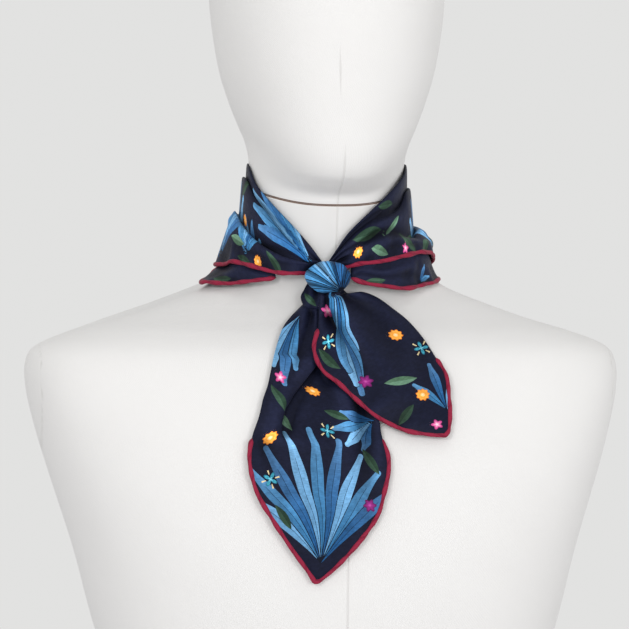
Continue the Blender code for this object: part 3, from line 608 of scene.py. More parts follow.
def rolledSilk(name):
    # burgundy silk rolled by hand and whipped: slanting dents at each stitch, fine threads, soft sheen
    material, shader, add = newMaterial(name, roughness=0.55, specular=0.12, sheen=0.06, sheenRoughness=0.4)
    uvMap = add("UVMap", uv_map="UVMap")
    u, v, _ = add("SeparateXYZ", (uvMap,), out=None).outputs
    slant = add("Math", (v, hemLook["stitchSlant"], u), "MULTIPLY_ADD")
    phase = add("Math", (slant, 1.0 / hemLook["stitchPitch"]), "MULTIPLY")
    stitch = add("Math", (add("Math", (phase,), "FRACT"), 0.5), "SUBTRACT")
    stitch = add("Math", (stitch, stitch), "MULTIPLY")
    dent = add("MapRange", {0: stitch, 1: 0.0, 2: 0.02, 3: 1.0, 4: 0.0})
    twist = add("Math", (slant, 2 * math.pi / hemLook["twistPitch"]), "MULTIPLY")
    twist = add("Math", (twist,), "SINE")
    lumps = add("TexNoise", {"Vector": uvMap, "Scale": hemLook["lumpScale"], "Detail": 3.0})
    shade = add("Math", (dent, hemLook["stitchShade"]), "MULTIPLY")
    shade = add("Math", (lumps, hemLook["lumpShade"], shade), "MULTIPLY_ADD")
    dyed = add("Mix", {0: shade, 6: colour(hemLook["dye"]), 7: colour(hemLook["shade"])})
    height = add("Math", (dent, -hemLook["stitchHeight"]), "MULTIPLY")
    height = add("Math", (twist, hemLook["twistHeight"], height), "MULTIPLY_ADD")
    height = add("Math", (lumps, hemLook["lumpHeight"], height), "MULTIPLY_ADD")
    return dyeAndRelief(material, shader, add, dyed, height)


jersey = {
    "dye": "dedddc",
    "shade": "cfcdcb",
    "neckLine": "6b4a35",
    "neckLineWidth": (0.35, 0.8),    # mm from the join where the line is full and where it ends
    "wale": 1.15,            # mm between the knit's ribs, coarser than the jersey's so that they show
    "course": 1.0,
    "ribHeight": 0.05,
    "seamDepth": 0.35,       # mm
    "seamHalf": 1.1,         # mm
    "seamShade": 0.55,
    "cloudScale": 0.02,      # clouds for each mm
    "cloudShade": 0.25,
}


def whiteJersey(name):
    # fine white jersey stretched over the form: matt, faint ribs, seams that sink a little
    material, shader, add = newMaterial(name, roughness=0.92, specular=0.2, sheen=0.08, sheenRoughness=0.6)
    uvMap = add("UVMap", uv_map="UVMap")
    cloth = add("SeparateXYZ", (uvMap,), out=None)
    waves = []
    for socket, pitch in zip(cloth.outputs, (jersey["wale"], jersey["course"])):
        wave = add("Math", (socket, 2 * math.pi / pitch), "MULTIPLY")
        waves.append(add("Math", (wave,), "SINE"))
    knit = add("Math", waves, "MULTIPLY")
    clouds = add("TexNoise", {"Vector": uvMap, "Scale": jersey["cloudScale"], "Detail": 4.0})
    seam = add("Attribute", out=2, attribute_name="seam")
    groove = add("MapRange", {0: seam, 1: 0.0, 2: jersey["seamHalf"], 3: 1.0, 4: 0.0},
                 interpolation_type="SMOOTHSTEP")
    neck = add("Attribute", out=2, attribute_name="neckSeam")
    full, none = jersey["neckLineWidth"]
    line = add("MapRange", {0: neck, 1: full, 2: none, 3: 1.0, 4: 0.0})
    grey = add("Math", (groove, jersey["seamShade"]), "MULTIPLY")
    grey = add("Math", (clouds, jersey["cloudShade"], grey), "MULTIPLY_ADD", use_clamp=True)
    dyed = add("Mix", {0: grey, 6: colour(jersey["dye"]), 7: colour(jersey["shade"])})
    dyed = add("Mix", {0: line, 6: dyed, 7: colour(jersey["neckLine"])})
    height = add("Math", (knit, jersey["ribHeight"]), "MULTIPLY")
    height = add("Math", (groove, -jersey["seamDepth"], height), "MULTIPLY_ADD")
    return dyeAndRelief(material, shader, add, dyed, height)


clothMaterial = printedTwill("navy silk twill, printed")
hemMaterial = rolledSilk("burgundy silk, hand rolled")
jerseyMaterial = whiteJersey("white cotton jersey over foam")
print("materials made")


# ---------------------------------------- the form's two pieces
def seamDistance(points):
    # mm to the nearest seam of the cover: down the middle, round each arm stump, two front darts
    x, y, z = np.moveaxis(points, -1, 0)
    lean, leanFrom = form["seamLean"]
    middle = x + lean * np.clip(z - leanFrom, 0.0, None)
    place, widen, top = form["darts"]
    dart = np.where((y < 0) & (z < top), np.abs(np.abs(x) - place - widen * z), farOff)
    place, narrow, level, lowest = form["stumps"]
    stump = np.where(z > lowest, np.abs(np.abs(x) - place + narrow * (level - z)), farOff)
    return np.minimum(np.minimum(np.abs(middle), dart), stump)


def addFormPiece(name, table, rings, node, lift, neckRow):
    points = ringsOf(table, rings, form["pointsRound"]) + np.array([0.0, 0.0, lift])
    along = lengthAlong(np.concatenate([points, points[:, :1]], axis=1), axis=1)
    down = lengthAlong(points)
    uv = np.stack([along[:, :-1], down], axis=-1)
    tube, faces = closedTube(points)
    fields = {"seam": seamDistance(points), "neckSeam": np.abs(down - down[neckRow])}
    fields = {label: np.append(values, (farOff, farOff)) for label, values in fields.items()}
    mesh = makeMesh(name, tube, faces, np.concatenate([uv.reshape(-1, 2), uv[[0, -1], 0]]), fields,
                    around=np.append(np.repeat(along[:, -1], form["pointsRound"]), (0.0, 0.0)))
    addPiece(name, mesh, jerseyMaterial, (node,))


addFormPiece("formTorso", torsoRings, form["torsoRings"], "form_torso", 0.0, -1)
addFormPiece("formHead", headRings, form["headRings"], "form_head", form["neckGap"], 0)
print("dress form built")


# ---------------------------------------- the scarf: shared pieces of its construction
def clothOf(points):
    # flat places in mm: along the middle of the stations' lines, and down each section
    down = lengthAlong(points, axis=1)
    along = lengthAlong(points).mean(axis=1, keepdims=True)
    return np.stack([np.broadcast_to(along, down.shape), down], axis=-1)


def creaseHeights(cloth, creases):
    # ridges (and troughs, where the rise is negative) drawn on the flat cloth: each runs from one
    # place to another, bowed by its bend, with its own half width and rise at each end
    height = np.zeros(cloth.shape[:-1])
    for start, end, bend, halves, rises in creases:
        run = np.subtract(end, start)
        length = math.hypot(*run)
        ahead, aside = run / length, np.array([-run[1], run[0]]) / length
        offset = cloth - start
        t = offset @ ahead / length
        inside = np.clip(t, 0.0, 1.0)
        away = offset @ aside - bend * 4.0 * inside * (1.0 - inside)
        half = halves[0] + (halves[1] - halves[0]) * inside
        rise = rises[0] + (rises[1] - rises[0]) * inside
        fade = smoothStep(1.0 - np.abs(t - inside) * length / (2.0 * half))
        height += rise * fade * bell(away / half)
    return height


def creased(points, cloth, creases):
    # the creases, whose ends are shares of the grid, pressed outward along the grid's unit normals
    last = np.subtract(cloth.shape[:2], 1)
    ends = [[cloth[tuple(np.round(last * share).astype(int))] for share in crease[:2]]
            for crease in creases]
    creases = [(*places, *crease[2:]) for places, crease in zip(ends, creases)]
    normal = np.cross(np.gradient(points, axis=0), np.gradient(points, axis=1))
    normal = normal / np.maximum(np.linalg.norm(normal, axis=-1, keepdims=True), 1e-9)
    _, away = awayFromForm(points)
    normal = normal * np.where(np.sum(normal * away) < 0.0, -1.0, 1.0)
    return points + normal * creaseHeights(cloth, creases)[..., None]


def hollowOf(points):
    # how far each point lies below the cloth around it, from -1 on a crest to 1 in a fold: the mask for the
    # painted shade in folds and the painted highlight on crests
    height, _ = awayFromForm(points)
    around = rounded(rounded(height, twill["foldPasses"]), twill["foldPasses"], axis=0)
    return np.clip((around - height) / twill["foldDepth"], -1.0, 1.0)


clothWall = 0.45             # mm, thicker than the silk so that its edge shows


def addSheet(name, points, cloth, looks, node, flip=False):
    # an open grid that Solidify gives its wall, half to each side
    # each point's hollowness goes along as the mask for the painted fold shade and crest highlight
    fields = oneRowEach({**printOn(cloth, *looks), "paintedShadeHollow": hollowOf(points)})
    mesh = makeMesh(name, points.reshape(-1, 3), gridFaces(*points.shape[:2], flip=flip),
                    cloth.reshape(-1, 2), fields)
    piece = addPiece(name, mesh, clothMaterial, (node,))
    solidify = piece.modifiers.new("cloth wall", "SOLIDIFY")
    solidify.thickness = clothWall * mm
    solidify.offset = 0.0
    return piece


hem = {
    "half": (1.42, 1.3),     # along the cloth and square to it
    "step": 0.9,
    "points": 14,
    "unevenness": 0.22,
    "waves": (3.1, 7.3, 1.9, 23.0),  # mm, divisors of the length along it in the slow waves
    "twist": (0.25, 2.7),    # radians, and mm along
    "taper": 3.0,            # mm
    "outPasses": 12,
}


def addHem(name, line, node, size=1.0):
    # an ellipse swept along a line, its long axis in the cloth: tangent, and outward from the form.
    # Slow waves along it change its thickness, and each end tapers
    line = rounded(line, 2, axis=0)
    count = int(lengthAlong(line)[-1] / hem["step"])
    line = readTable(line, evenPlaces(line, count) * (len(line) - 1))
    along = lengthAlong(line)
    tangent = unit(np.gradient(line, axis=0))
    out = rounded(awayFromForm(line)[1], hem["outPasses"], axis=0)
    aside = unit(np.cross(tangent, out))
    out = np.cross(aside, tangent)
    first, second, third, slow = hem["waves"]
    wave = 1.0 + hem["unevenness"] * (0.5 * np.sin(along / first) + 0.3 * np.sin(along / second + 1.0)
                                      + 0.4 * np.sin(along / third + 2.0 * np.sin(along / slow)))
    taper = np.sqrt(np.clip(np.minimum(along, along[-1] - along) / hem["taper"], 0.02, 1.0))
    turn = np.linspace(0.0, 2 * math.pi, hem["points"], endpoint=False)
    twist = turn[None] + hem["twist"][0] * np.sin(along / hem["twist"][1])[:, None]
    scale = (size * wave * taper)[:, None, None]
    rings = (line[:, None] + aside[:, None] * hem["half"][0] * scale * np.cos(twist)[..., None]
             + out[:, None] * hem["half"][1] * scale * np.sin(twist)[..., None])
    points, faces = closedTube(rings)
    around = 2 * math.pi * hem["half"][1] * size
    uv = np.stack(np.broadcast_arrays(turn[None] / (2 * math.pi) * around, along[:, None]), axis=-1)
    mesh = makeMesh(name, points, faces, np.concatenate([uv.reshape(-1, 2), uv[[0, -1], 0]]),
                    around=np.full(len(points), around))
    addPiece(name, mesh, hemMaterial, (node,))


# ---------------------------------------- the outer leaf, wound round the neck in pleats
wrap = {
    "stations": 360,
    "sectionCounts": (4, 2, 11, 6, 17, 6, 14, 58),   # points between the corners of a section
    "puffs": (0.0, 0.0, 1.1, 0.0, 1.9, 0.0, 1.3, 0.0),   # how far each run of a section bulges
    "roundings": 8,
    "overlap": 1.6,          # how much deeper than the table the pleats lie over one another
    "topEdge": ((-1.6, -9.0), (-0.9, -0.6), (0.2, 0.0)),     # inner edge and turn of the top fold
    "behind": (-2.2, -2.6),  # how far inside the second and third folds the cloth above them runs
    "flatSides": 22.0,       # degrees each way from the outline seen from the front without bulges
    "neckRoom": 0.7,         # mm off the form at the folds
    "leafRoom": 3.0,         # mm off the form where the under leaf passes below
    "opening": 2.5,          # all of that is there at 1 / opening of the way from the belly down
    "hemRoom": 4.7,
}
# round from the knot's left to its right: angle of the hem and of the top fold; then distance off the
# form and height of the top fold, second fold, third fold, belly and hem; then how far the second and
# third folds lap over the one below
outerLeafRows = np.array([
    (-6, -1, 4, 416.5, 4.8, 415, 5.4, 414, 6, 413, 6.8, 410, 0.2, 0.1),
    (-12, -4, 4.5, 421, 5.6, 418.4, 6.3, 416.8, 7.1, 415.4, 8.2, 410.6, 0.4, 0.2),
    (-18, -12, 4.1, 432.5, 8, 422, 10.9, 418.4, 12.4, 416, 12.9, 410.6, 2, 1),
    (-28, -25, 3, 446.5, 6.2, 435, 10.5, 422.4, 12.5, 417.5, 12.9, 411.2, 3, 2.5),
    (-42, -41, 2.5, 460, 5, 452, 9.7, 430.5, 12.4, 423, 13.4, 415, 3.5, 3.5),
    (-56, -56, 2.6, 471, 4.4, 464, 9.4, 440, 13, 430, 14.1, 418.6, 4, 4.5),
    (-70, -70, 1.6, 481.5, 4.2, 475, 9.2, 449, 14.6, 437.5, 10.6, 417.2, 4, 5),
    (-84, -84, 0.9, 485.5, 4.2, 477.5, 9.2, 454.5, 13.6, 438, 11.8, 417.4, 4, 5),
    (-100, -100, 0.8, 486.5, 4.9, 476.5, 8.8, 453.5, 10.6, 434.5, 6, 417.2, 4, 5),
    (-120, -120, 1.4, 487.5, 6.2, 475, 8.6, 452, 8.2, 428.5, 3.6, 413, 4, 5),
    (-140, -140, 2.8, 489, 7.2, 474, 8, 450, 6, 424, 4.8, 371, 4, 5),
    (-157, -157, 3.6, 488, 7.6, 472.5, 7.2, 448.5, 4.6, 420, 5.2, 312, 4, 5),
    (-173, -173, 3.9, 488, 7.6, 472, 7, 448, 4.4, 418, 5.2, 262, 4, 5),
    (-189, -189, 3.6, 488, 7.4, 472, 7.2, 447.6, 4.6, 420, 5.2, 312, 4, 5),
    (-206, -206, 2.8, 489, 6.6, 472, 7.8, 447.2, 6, 424, 5.2, 367, 4, 5),
    (-226, -226, 2.2, 490, 5.6, 472, 8.2, 446.4, 9, 428, 6, 409, 4, 5),
    (-246, -246, 1.4, 488, 4.6, 471.5, 8.4, 445.4, 10.4, 431, 5.2, 413.5, 4, 5),
    (-262, -262, 1.2, 486.5, 4.4, 470.8, 8.3, 444, 13, 432, 7.4, 418, 4, 5),
    (-276, -276, 1.2, 485, 4.3, 469.5, 8.4, 442, 15.4, 433, 13.2, 422.8, 3.5, 4.5),
    (-287, -288, 1.5, 482.5, 4.3, 468, 8.8, 439, 15.8, 432, 16, 424.6, 3.5, 4),
    (-294, -296, 2.2, 479, 4.2, 465, 9.5, 434.5, 14.2, 430.5, 16.4, 424.7, 3, 2.5),
    (-302, -304, 2.6, 474.5, 4, 456, 9.8, 434.5, 12.8, 430, 16, 424.5, 2, 0),
    (-315, -318, 3.1, 464.5, 4.6, 447.5, 8.8, 435, 11.8, 429, 15, 421.8, -1, -2),
    (-328, -332, 3.2, 452, 4.8, 443, 8, 433, 10.8, 426, 13.8, 418.6, -2, -2),
    (-340, -346, 3.4, 438, 5.4, 432, 8.4, 427, 10.9, 422.6, 13, 417.2, -2, -1),
    (-348, -355, 4, 424.5, 5, 422.8, 6.1, 421.2, 6.9, 419.6, 8.6, 414.6, -0.4, -0.2),
    (-355, -359, 3.6, 418, 4.2, 417, 5, 416, 5.8, 415, 6.8, 412, -0.2, -0.1),
])


def wrapSections():
    # each section runs over a fold, down, under the next fold and so on to the hem; angles go from
    # the top fold's to the hem's on the way down
    line = outFromForm(*outerLeafRows[:, (0, 10, 11)].T)
    rows = rowsByLength(outerLeafRows, line, wrap["stations"])

    def angles(count):
        return rows[:, 1:2] + (rows[:, 0:1] - rows[:, 1:2]) * np.linspace(0.0, 1.0, count)[None]

    rows[:, 2:12:2] += reachAt(angles(5) + knotTurn, rows[:, 3:12:2])
    hemLine = liftOff(aroundNeck(rows[:, 0], rows[:, 10], rows[:, 11]), wrap["hemRoom"])
    rows[:, 10], rows[:, 11] = np.hypot(hemLine[:, 0], hemLine[:, 1]), hemLine[:, 2]
    top, two, three, belly, end = (rows[:, first:first + 2] for first in (2, 4, 6, 8, 10))
    tucked = [fold + np.stack([np.full(len(rows), inside), -lap * wrap["overlap"]], axis=1)
              for fold, inside, lap in zip((two, three), wrap["behind"], rows[:, 12:14].T)]
    corners = [*(top + shift for shift in wrap["topEdge"]), tucked[0], two, tucked[1], three, belly, end]
    side = np.abs(np.abs(rows[:, :1] + 180.0) - 90.0)    # degrees from the outline seen from the front
    parts = []
    for a, b, count, puff in zip(corners[:-1], corners[1:], wrap["sectionCounts"], wrap["puffs"]):
        part = np.linspace(a, b, count, endpoint=False, axis=1)
        t = np.linspace(0.0, 1.0, count, endpoint=False)[None]
        part[..., 0] += puff * np.sin(math.pi * t ** 0.8) * (1.0 - bell(side / wrap["flatSides"]))
        parts.append(part)
    section = np.concatenate(parts + [corners[-1][:, None]], axis=1)
    section = rounded(section, wrap["roundings"])
    return aroundNeck(angles(section.shape[1]), section[..., 0], section[..., 1])


# share of the stations and of the section at each end, bend in mm, half widths, rises
wrapCreases = (
    # gathers that run out of the knot on its left
    ((0.012, 0.92), (0.088, 0.8), 1.5, (1.5, 5), (-1.3, -0.6)),
    ((0.012, 0.8), (0.08, 0.66), 1, (1.5, 4.5), (1.4, 0.7)),
    ((0.012, 0.66), (0.075, 0.56), 1, (1.2, 3.5), (-1.2, -0.6)),
    ((0.012, 0.42), (0.1, 0.33), -1, (1.2, 2.6), (-1.2, -0.8)),
    ((0.012, 0.34), (0.11, 0.27), 0.5, (1.1, 2.4), (1, 0.7)),
    ((0.012, 0.14), (0.12, 0.11), 1, (1, 2), (-0.9, -0.5)),
    # ripples above the hem on the left
    ((0.112, 0.74), (0.104, 1), 1.5, (2.6, 3.4), (0.3, 1.5)),
    ((0.128, 0.7), (0.124, 1), 1, (2.4, 3), (-0.3, -1.5)),
    ((0.146, 0.66), (0.143, 1), 0.5, (2.6, 3.6), (0.4, 1.3)),
    ((0.09, 0.82), (0.082, 1), 0.5, (2.4, 3), (-0.1, -0.9)),
    # gathers on the right, and the soft roll above the hem
    ((0.985, 0.86), (0.905, 0.66), -3, (1.5, 5.5), (-1.3, -1)),
    ((0.985, 0.72), (0.915, 0.46), -2, (1.5, 5), (1.4, 1)),
    ((0.985, 0.52), (0.925, 0.33), -1.5, (1.3, 4), (-1.2, -0.8)),
    ((0.985, 0.34), (0.9, 0.2), -1, (1.3, 3.6), (0.9, 0.5)),
    ((0.985, 0.16), (0.9, 0.1), 0, (1, 2.6), (-0.8, -0.3)),
    ((0.93, 0.78), (0.82, 0.76), 3, (3.6, 3.6), (1.8, 1.4)),
    ((0.96, 0.92), (0.88, 0.88), 1, (2, 3.2), (-0.9, -0.9)),
    # folds that sag from shoulder to shoulder at the back
    ((0.3, 0.6), (0.7, 0.6), 30, (6, 6.5), (4.2, 3.8)),
    ((0.29, 0.5), (0.69, 0.5), 16, (4.5, 5), (3.2, 3)),
    ((0.31, 0.7), (0.66, 0.67), 50, (8, 7), (3.6, 4.2)),
    ((0.34, 0.55), (0.64, 0.55), 26, (4, 4), (-2.4, -2.6)),
    ((0.33, 0.64), (0.65, 0.63), 40, (5, 5), (-2.6, -3)),
    ((0.25, 0.55), (0.42, 0.8), -8, (5, 9), (3.4, 1.2)),
    ((0.745, 0.56), (0.59, 0.8), 8, (5, 9), (3.4, 1.4)),
    ((0.29, 0.6), (0.44, 0.86), -4, (4, 7), (-2.6, -0.8)),
    ((0.705, 0.6), (0.57, 0.86), 4, (4, 7), (-2.6, -0.8)),
    ((0.38, 0.86), (0.455, 0.97), 0, (7, 8), (-1.6, -0.6)),
    ((0.62, 0.88), (0.56, 0.96), 0, (7, 8), (1.5, 0.5)),
    ((0.2, 0.44), (0.33, 0.4), 5, (3, 4), (1.2, 1.2)),
    ((0.67, 0.38), (0.8, 0.42), 5, (3, 4), (1.3, 1.1)),
    ((0.22, 0.78), (0.25, 1), 0, (4, 5), (0.5, 1.6)),
    ((0.78, 0.8), (0.755, 1), 0, (4, 5), (0.4, 1.5)),
)
wrapPoints = wrapSections()
wrapCloth = clothOf(wrapPoints)
wrapPoints = creased(wrapPoints, wrapCloth, wrapCreases)
# its room opens from the belly down
belly = np.cumsum(wrap["sectionCounts"])[-2]
step = np.arange(wrapPoints.shape[1])[None]
below = smoothStep(wrap["opening"] * (step - belly) / (step[0, -1] - belly))
wrapPoints = liftOff(wrapPoints, wrap["neckRoom"] + (wrap["leafRoom"] - wrap["neckRoom"]) * below)
print("outer leaf folded")

# sprays, leaves and blossoms, each with its place in shares of the grid. Then a spray has its heading,
# spread, petals, length, half width, bend and first tone, the others their heading, reach and kind
wrapLooks = (
    (((0.02, 0.4), -12, 46, 6, 62, 4.2, 0.15, 0), ((0.118, 0.74), -70, 60, 4, 30, 3.4, 0.2, 1),
     ((0.185, 0.9), -70, 80, 7, 60, 4.4, 0.2, 2), ((0.24, 0.3), 10, 60, 5, 46, 4, 0.2, 0),
     ((0.486, 0.94), -97, 78, 9, 74, 4.6, 0.25, 0), ((0.37, 0.56), 60, 60, 6, 60, 4.4, 0.2, 1),
     ((0.66, 0.5), 120, 70, 6, 58, 4.4, -0.2, 2), ((0.56, 0.28), 170, 50, 5, 46, 4, 0.2, 1),
     ((0.79, 0.92), -110, 80, 7, 56, 4.4, 0.2, 0)),
    (((0.139, 0.5), 200, 9, 0), ((0.118, 0.88), 20, 8, 1), ((0.075, 0.64), 170, 9.5, 1),
     ((0.16, 0.22), 60, 9, 1), ((0.903, 0.098), -28, 8.5, 1), ((0.934, 0.3), -25, 12.5, 1),
     ((0.897, 0.285), 12, 8, 0), ((0.925, 0.56), -50, 9, 0), ((0.885, 0.47), -75, 10.5, 1),
     ((0.852, 0.33), -30, 8, 0), ((0.85, 0.72), 170, 9, 1), ((0.29, 0.66), 30, 13, 0),
     ((0.32, 0.74), -25, 13, 1), ((0.42, 0.66), 70, 13, 1), ((0.44, 0.52), 10, 12, 0),
     ((0.58, 0.62), 120, 13, 0), ((0.61, 0.74), 60, 13, 1), ((0.7, 0.78), 10, 13, 0),
     ((0.74, 0.62), 130, 12, 1), ((0.62, 0.9), 20, 11, 1), ((0.39, 0.9), 150, 11, 0)),
    (((0.098, 0.76), 20, 3.6, 0), ((0.147, 0.3), 0, 3.8, 0), ((0.952, 0.47), 30, 3.9, 0),
     ((0.892, 0.7), 10, 3.4, 2), ((0.25, 0.8), 10, 4.2, 1), ((0.34, 0.6), 10, 4.2, 0),
     ((0.43, 0.8), 40, 4.4, 3), ((0.465, 0.6), 20, 4.4, 0), ((0.545, 0.56), 0, 4.6, 1),
     ((0.575, 0.84), 15, 4.4, 2), ((0.66, 0.7), 30, 4.4, 0), ((0.72, 0.9), 0, 4.6, 1),
     ((0.5, 0.44), 0, 4.4, 0)),
)
scarfWrap = addSheet("scarfWrap", wrapPoints, wrapCloth, wrapLooks, "wrap_outer_leaf",
                     flip=True)
addHem("scarfWrapHem", wrapPoints[:, -1], "hem_outer_leaf")
print("outer leaf made")


# ---------------------------------------- the under leaf, whose edge shows below the outer leaf's
underLeaf = {
    "stations": 330,
    "counts": (10, 10, 34),  # points from its tuck to behind the outer hem and on to its own hem
    "tuck": 0.42,            # share of the outer leaf's belly that it runs up below
    "behindHem": 2.5,        # mm inside the outer hem
    "room": 1.2,             # mm off the form
    "hemRoom": 2.2,
    "roundings": 5,
}
# its own hem: angle, distance off the form and height
underHemRows = np.array([
    (-31, 7.9, 408), (-42, 10.5, 406.2), (-53, 10, 404.8), (-66, 8.6, 404.6),
    (-78, 9, 405), (-87, 8.4, 406.8), (-100, 5, 409), (-120, 1.4, 409.6),
    (-140, 3, 353), (-157, 3, 297), (-173, 3, 246), (-189, 3, 297),
    (-206, 3, 353), (-226, 2, 401), (-246, 1.2, 406.4), (-262, 0.7, 406.6),
    (-275, 1.7, 405.6), (-290, 4.9, 404.2), (-300, 7.6, 402.4), (-312, 10.4, 401),
    (-325, 12.7, 402.4), (-337, 12.5, 404.2), (-346, 11.8, 407.6),
])


def squareTo(fall, line):
    return unit(np.cross(fall, np.gradient(line, axis=0)))


def underLeafGrid():
    # from below the outer leaf, past the inner side of its hem, to its own hem
    rows = rowsByLength(underHemRows, outFromForm(*underHemRows.T), underLeaf["stations"])
    angle, hemOff, hemZ = rows.T
    line = liftOff(outFromForm(angle, hemOff, hemZ), underLeaf["hemRoom"])
    fromLeft = outerLeafRows[::-1]
    bellyOff, bellyZ, outerOff, outerZ = readTable(fromLeft[:, 8:12], angle, fromLeft[:, 0]).T
    belly = outFromForm(angle, bellyOff, bellyZ)
    outer = liftOff(outFromForm(angle, outerOff, outerZ), wrap["hemRoom"])
    inward = squareTo(line - outer, outer) + squareTo(outer - belly, outer)
    inward = inward / np.sum(inward * squareTo(line - outer, outer), axis=1)[:, None]
    middle = outer + inward * underLeaf["behindHem"]
    top = outFromForm(angle, underLeaf["room"], outerZ + underLeaf["tuck"] * (bellyZ - outerZ) - 1.0)
    corners = [top, (top + middle) / 2, middle, line]
    parts = [np.linspace(a, b, count, endpoint=False, axis=1)
             for a, b, count in zip(corners[:-1], corners[1:], underLeaf["counts"])]
    return rounded(np.concatenate(parts + [line[:, None]], axis=1), underLeaf["roundings"])


underCreases = (
    ((0.99, 0.66), (0.9, 0.6), -2.5, (1.8, 3.4), (1.7, 1.2)),
    ((0.99, 0.76), (0.91, 0.7), -2, (1.6, 3), (-1.6, -1)),
    ((0.99, 0.86), (0.925, 0.8), -1, (1.6, 3.6), (1.2, 0.8)),
    ((0.87, 0.62), (0.84, 0.98), 2, (3, 4.5), (0.6, 1.5)),
    ((0.895, 0.78), (0.88, 1), 1, (2.6, 3), (-0.3, -1.3)),
    ((0.012, 0.84), (0.08, 0.72), -1, (1.6, 3.6), (1.2, 0.8)),
    ((0.095, 0.7), (0.11, 1), 1, (3, 4), (0.4, 1.4)),
    ((0.065, 0.76), (0.072, 1), 1, (2.4, 3), (-0.3, -1.1)),
    ((0.3, 0.62), (0.7, 0.64), 20, (6, 6), (1.5, 1.4)),
)
underPoints = underLeafGrid()
underCloth = clothOf(underPoints)
underPoints = liftOff(creased(underPoints, underCloth, underCreases), underLeaf["room"])
underLooks = (
    (((0.88, 0.93), -140, 30, 2, 15, 2.2, 0.3, 1), ((0.5, 0.985), -90, 90, 7, 60, 4.4, 0.2, 1)),
    (((0.088, 0.88), 10, 8, 1), ((0.96, 0.9), 175, 7, 1), ((0.4, 0.94), 35, 12, 0),
     ((0.6, 0.94), 145, 12, 1)),
    (((0.55, 0.975), 0, 4.2, 0), ((0.35, 0.96), 0, 4.2, 1)),
)
scarfUnderLeaf = addSheet("scarfUnderLeaf", underPoints, underCloth, underLooks, "wrap_under_leaf",
                          flip=True)
addHem("scarfUnderLeafHem", underPoints[:, -1], "hem_under_leaf")
print("under leaf made")


# ---------------------------------------- the tails
tails = {
    "formRoom": 1.4,         # mm off the form
    "foldReach": 26.0,       # mm to each side of a fold over which its layers part
    "hemSize": 0.98,
}
# seen square on from the knot's side: left edge and right edge, each as distance to the right and
# height, then how far the left edge, the middle and the right edge stand off the form
shortTailRows = np.array([
    (-2.6, 404.5, 8, 405.5, 7, 9, 6),
    (-4, 395.8, 13.2, 398, 9.5, 14, 8),
    (-4.8, 391, 23, 398.6, 10, 14, 7.5),
    (-5.4, 375.6, 33, 395, 11, 13.5, 6.5),
    (-8, 361.8, 42.6, 388.2, 11.5, 13, 6),
    (-2.6, 348.6, 52.6, 380.2, 11, 12.5, 6),
    (7.6, 340.4, 62.4, 369, 10, 12, 6),
    (18.4, 330.4, 70.4, 356.4, 9, 11.5, 6.5),
    (31.6, 319.4, 77, 345, 7, 10, 7),
    (48, 311, 78.6, 331.4, 7, 9, 7),
    (63, 307.8, 79, 318.8, 6.5, 8, 6.5),
    (75.6, 306.8, 78, 309.4, 6, 6.5, 6),
])
longTailRows = np.array([
    (-14.6, 391, -3, 391, 2.6, 3.6, 3),
    (-23, 382.4, -3.8, 383, 3.2, 5.4, 3.6),
    (-28.4, 374.6, -3.8, 372.4, 3.5, 6.5, 4),
    (-32.8, 360.8, -3.6, 358.6, 3.5, 6.5, 3.5),
    (-35.6, 347.8, -0.8, 346.6, 3.5, 6.5, 3),
    (-37.4, 339, 4.4, 339.4, 3.5, 5, 3),
    (-40.4, 330, 20.2, 332.6, 3.5, 4.5, 3.5),
    (-42.8, 319.4, 32, 319.4, 3.5, 5.5, 4),
    (-47.2, 306.2, 35.4, 305.6, 3.5, 6, 4),
    (-48.8, 294.2, 39, 294.6, 4, 6, 5),
    (-47.2, 282.8, 39.2, 284.2, 4.5, 6, 5.5),
    (-43.2, 270.4, 36.6, 272.2, 4.5, 6, 5.5),
    (-34.6, 256, 32.2, 257.2, 4.5, 5.5, 5.5),
    (-23.4, 238.8, 20.6, 240.8, 4.5, 5.5, 5),
    (-13, 224.4, 6.6, 225.8, 4, 5, 4.5),
    (-7.4, 216, -4.6, 216.4, 3.5, 4, 3.5),
])


def tailGrid(table, folds, stations, points):
    # straight across each row and bowed to its middle stand-off. A fold laps the cloth over itself:
    # place across = flat place - depth * (tanh(flat / width) + 1), which runs back on itself where
    # depth is more than width, and the upper layer stands higher than the lower
    middle = (table[:, 0:2] + table[:, 2:4]) / 2
    places = evenPlaces(middle, stations) * (len(table) - 1)
    rows = readTable(table, places)
    left, right = rows[:, 0:2], rows[:, 2:4]
    width = np.linalg.norm(right - left, axis=1)[:, None]
    level = (left[:, 1:2] + right[:, 1:2]) / 2
    sheet = []
    extra = 0.0
    for path, fold, depth, rise in folds:
        heights, lines, strength = np.array(path)[::-1].T
        place = (np.interp(level, heights, lines) - left[:, :1]) / (right[:, :1] - left[:, :1]) * width
        amount = depth * smoothStep(np.interp(level, heights, strength))
        sheet.append((place + extra + amount, fold, amount, rise))
        extra = extra + 2.0 * amount
    flat = np.linspace(0.0, 1.0, points)[None] * (width + extra)
    across, lift = flat.copy(), np.zeros_like(flat)
    for place, fold, amount, rise in sheet:
        bent = np.tanh((flat - place) / fold)
        across = across - amount * (bent + 1.0)
        share = amount / max(amount.max(), 1e-6)
        lift = lift - rise * share * bent * bell((flat - place) / tails["foldReach"])
    share = across / width
    spot = left[:, None] + (right - left)[:, None] * share[..., None]
    bow = 4.0 * share * (1.0 - share)
    offLeft, offMiddle, offRight = rows[:, 4:5], rows[:, 5:6], rows[:, 6:7]
    off = offLeft + (offRight - offLeft) * share + (offMiddle - (offLeft + offRight) / 2) * bow
    off = off + lift * np.clip(3.0 * bow, 0.0, 1.0)
    down = lengthAlong((left + right) / 2)[:, None]
    cloth = np.stack(np.broadcast_arrays(flat - (width + extra) / 2, down), axis=-1)
    return spot, off, cloth, places


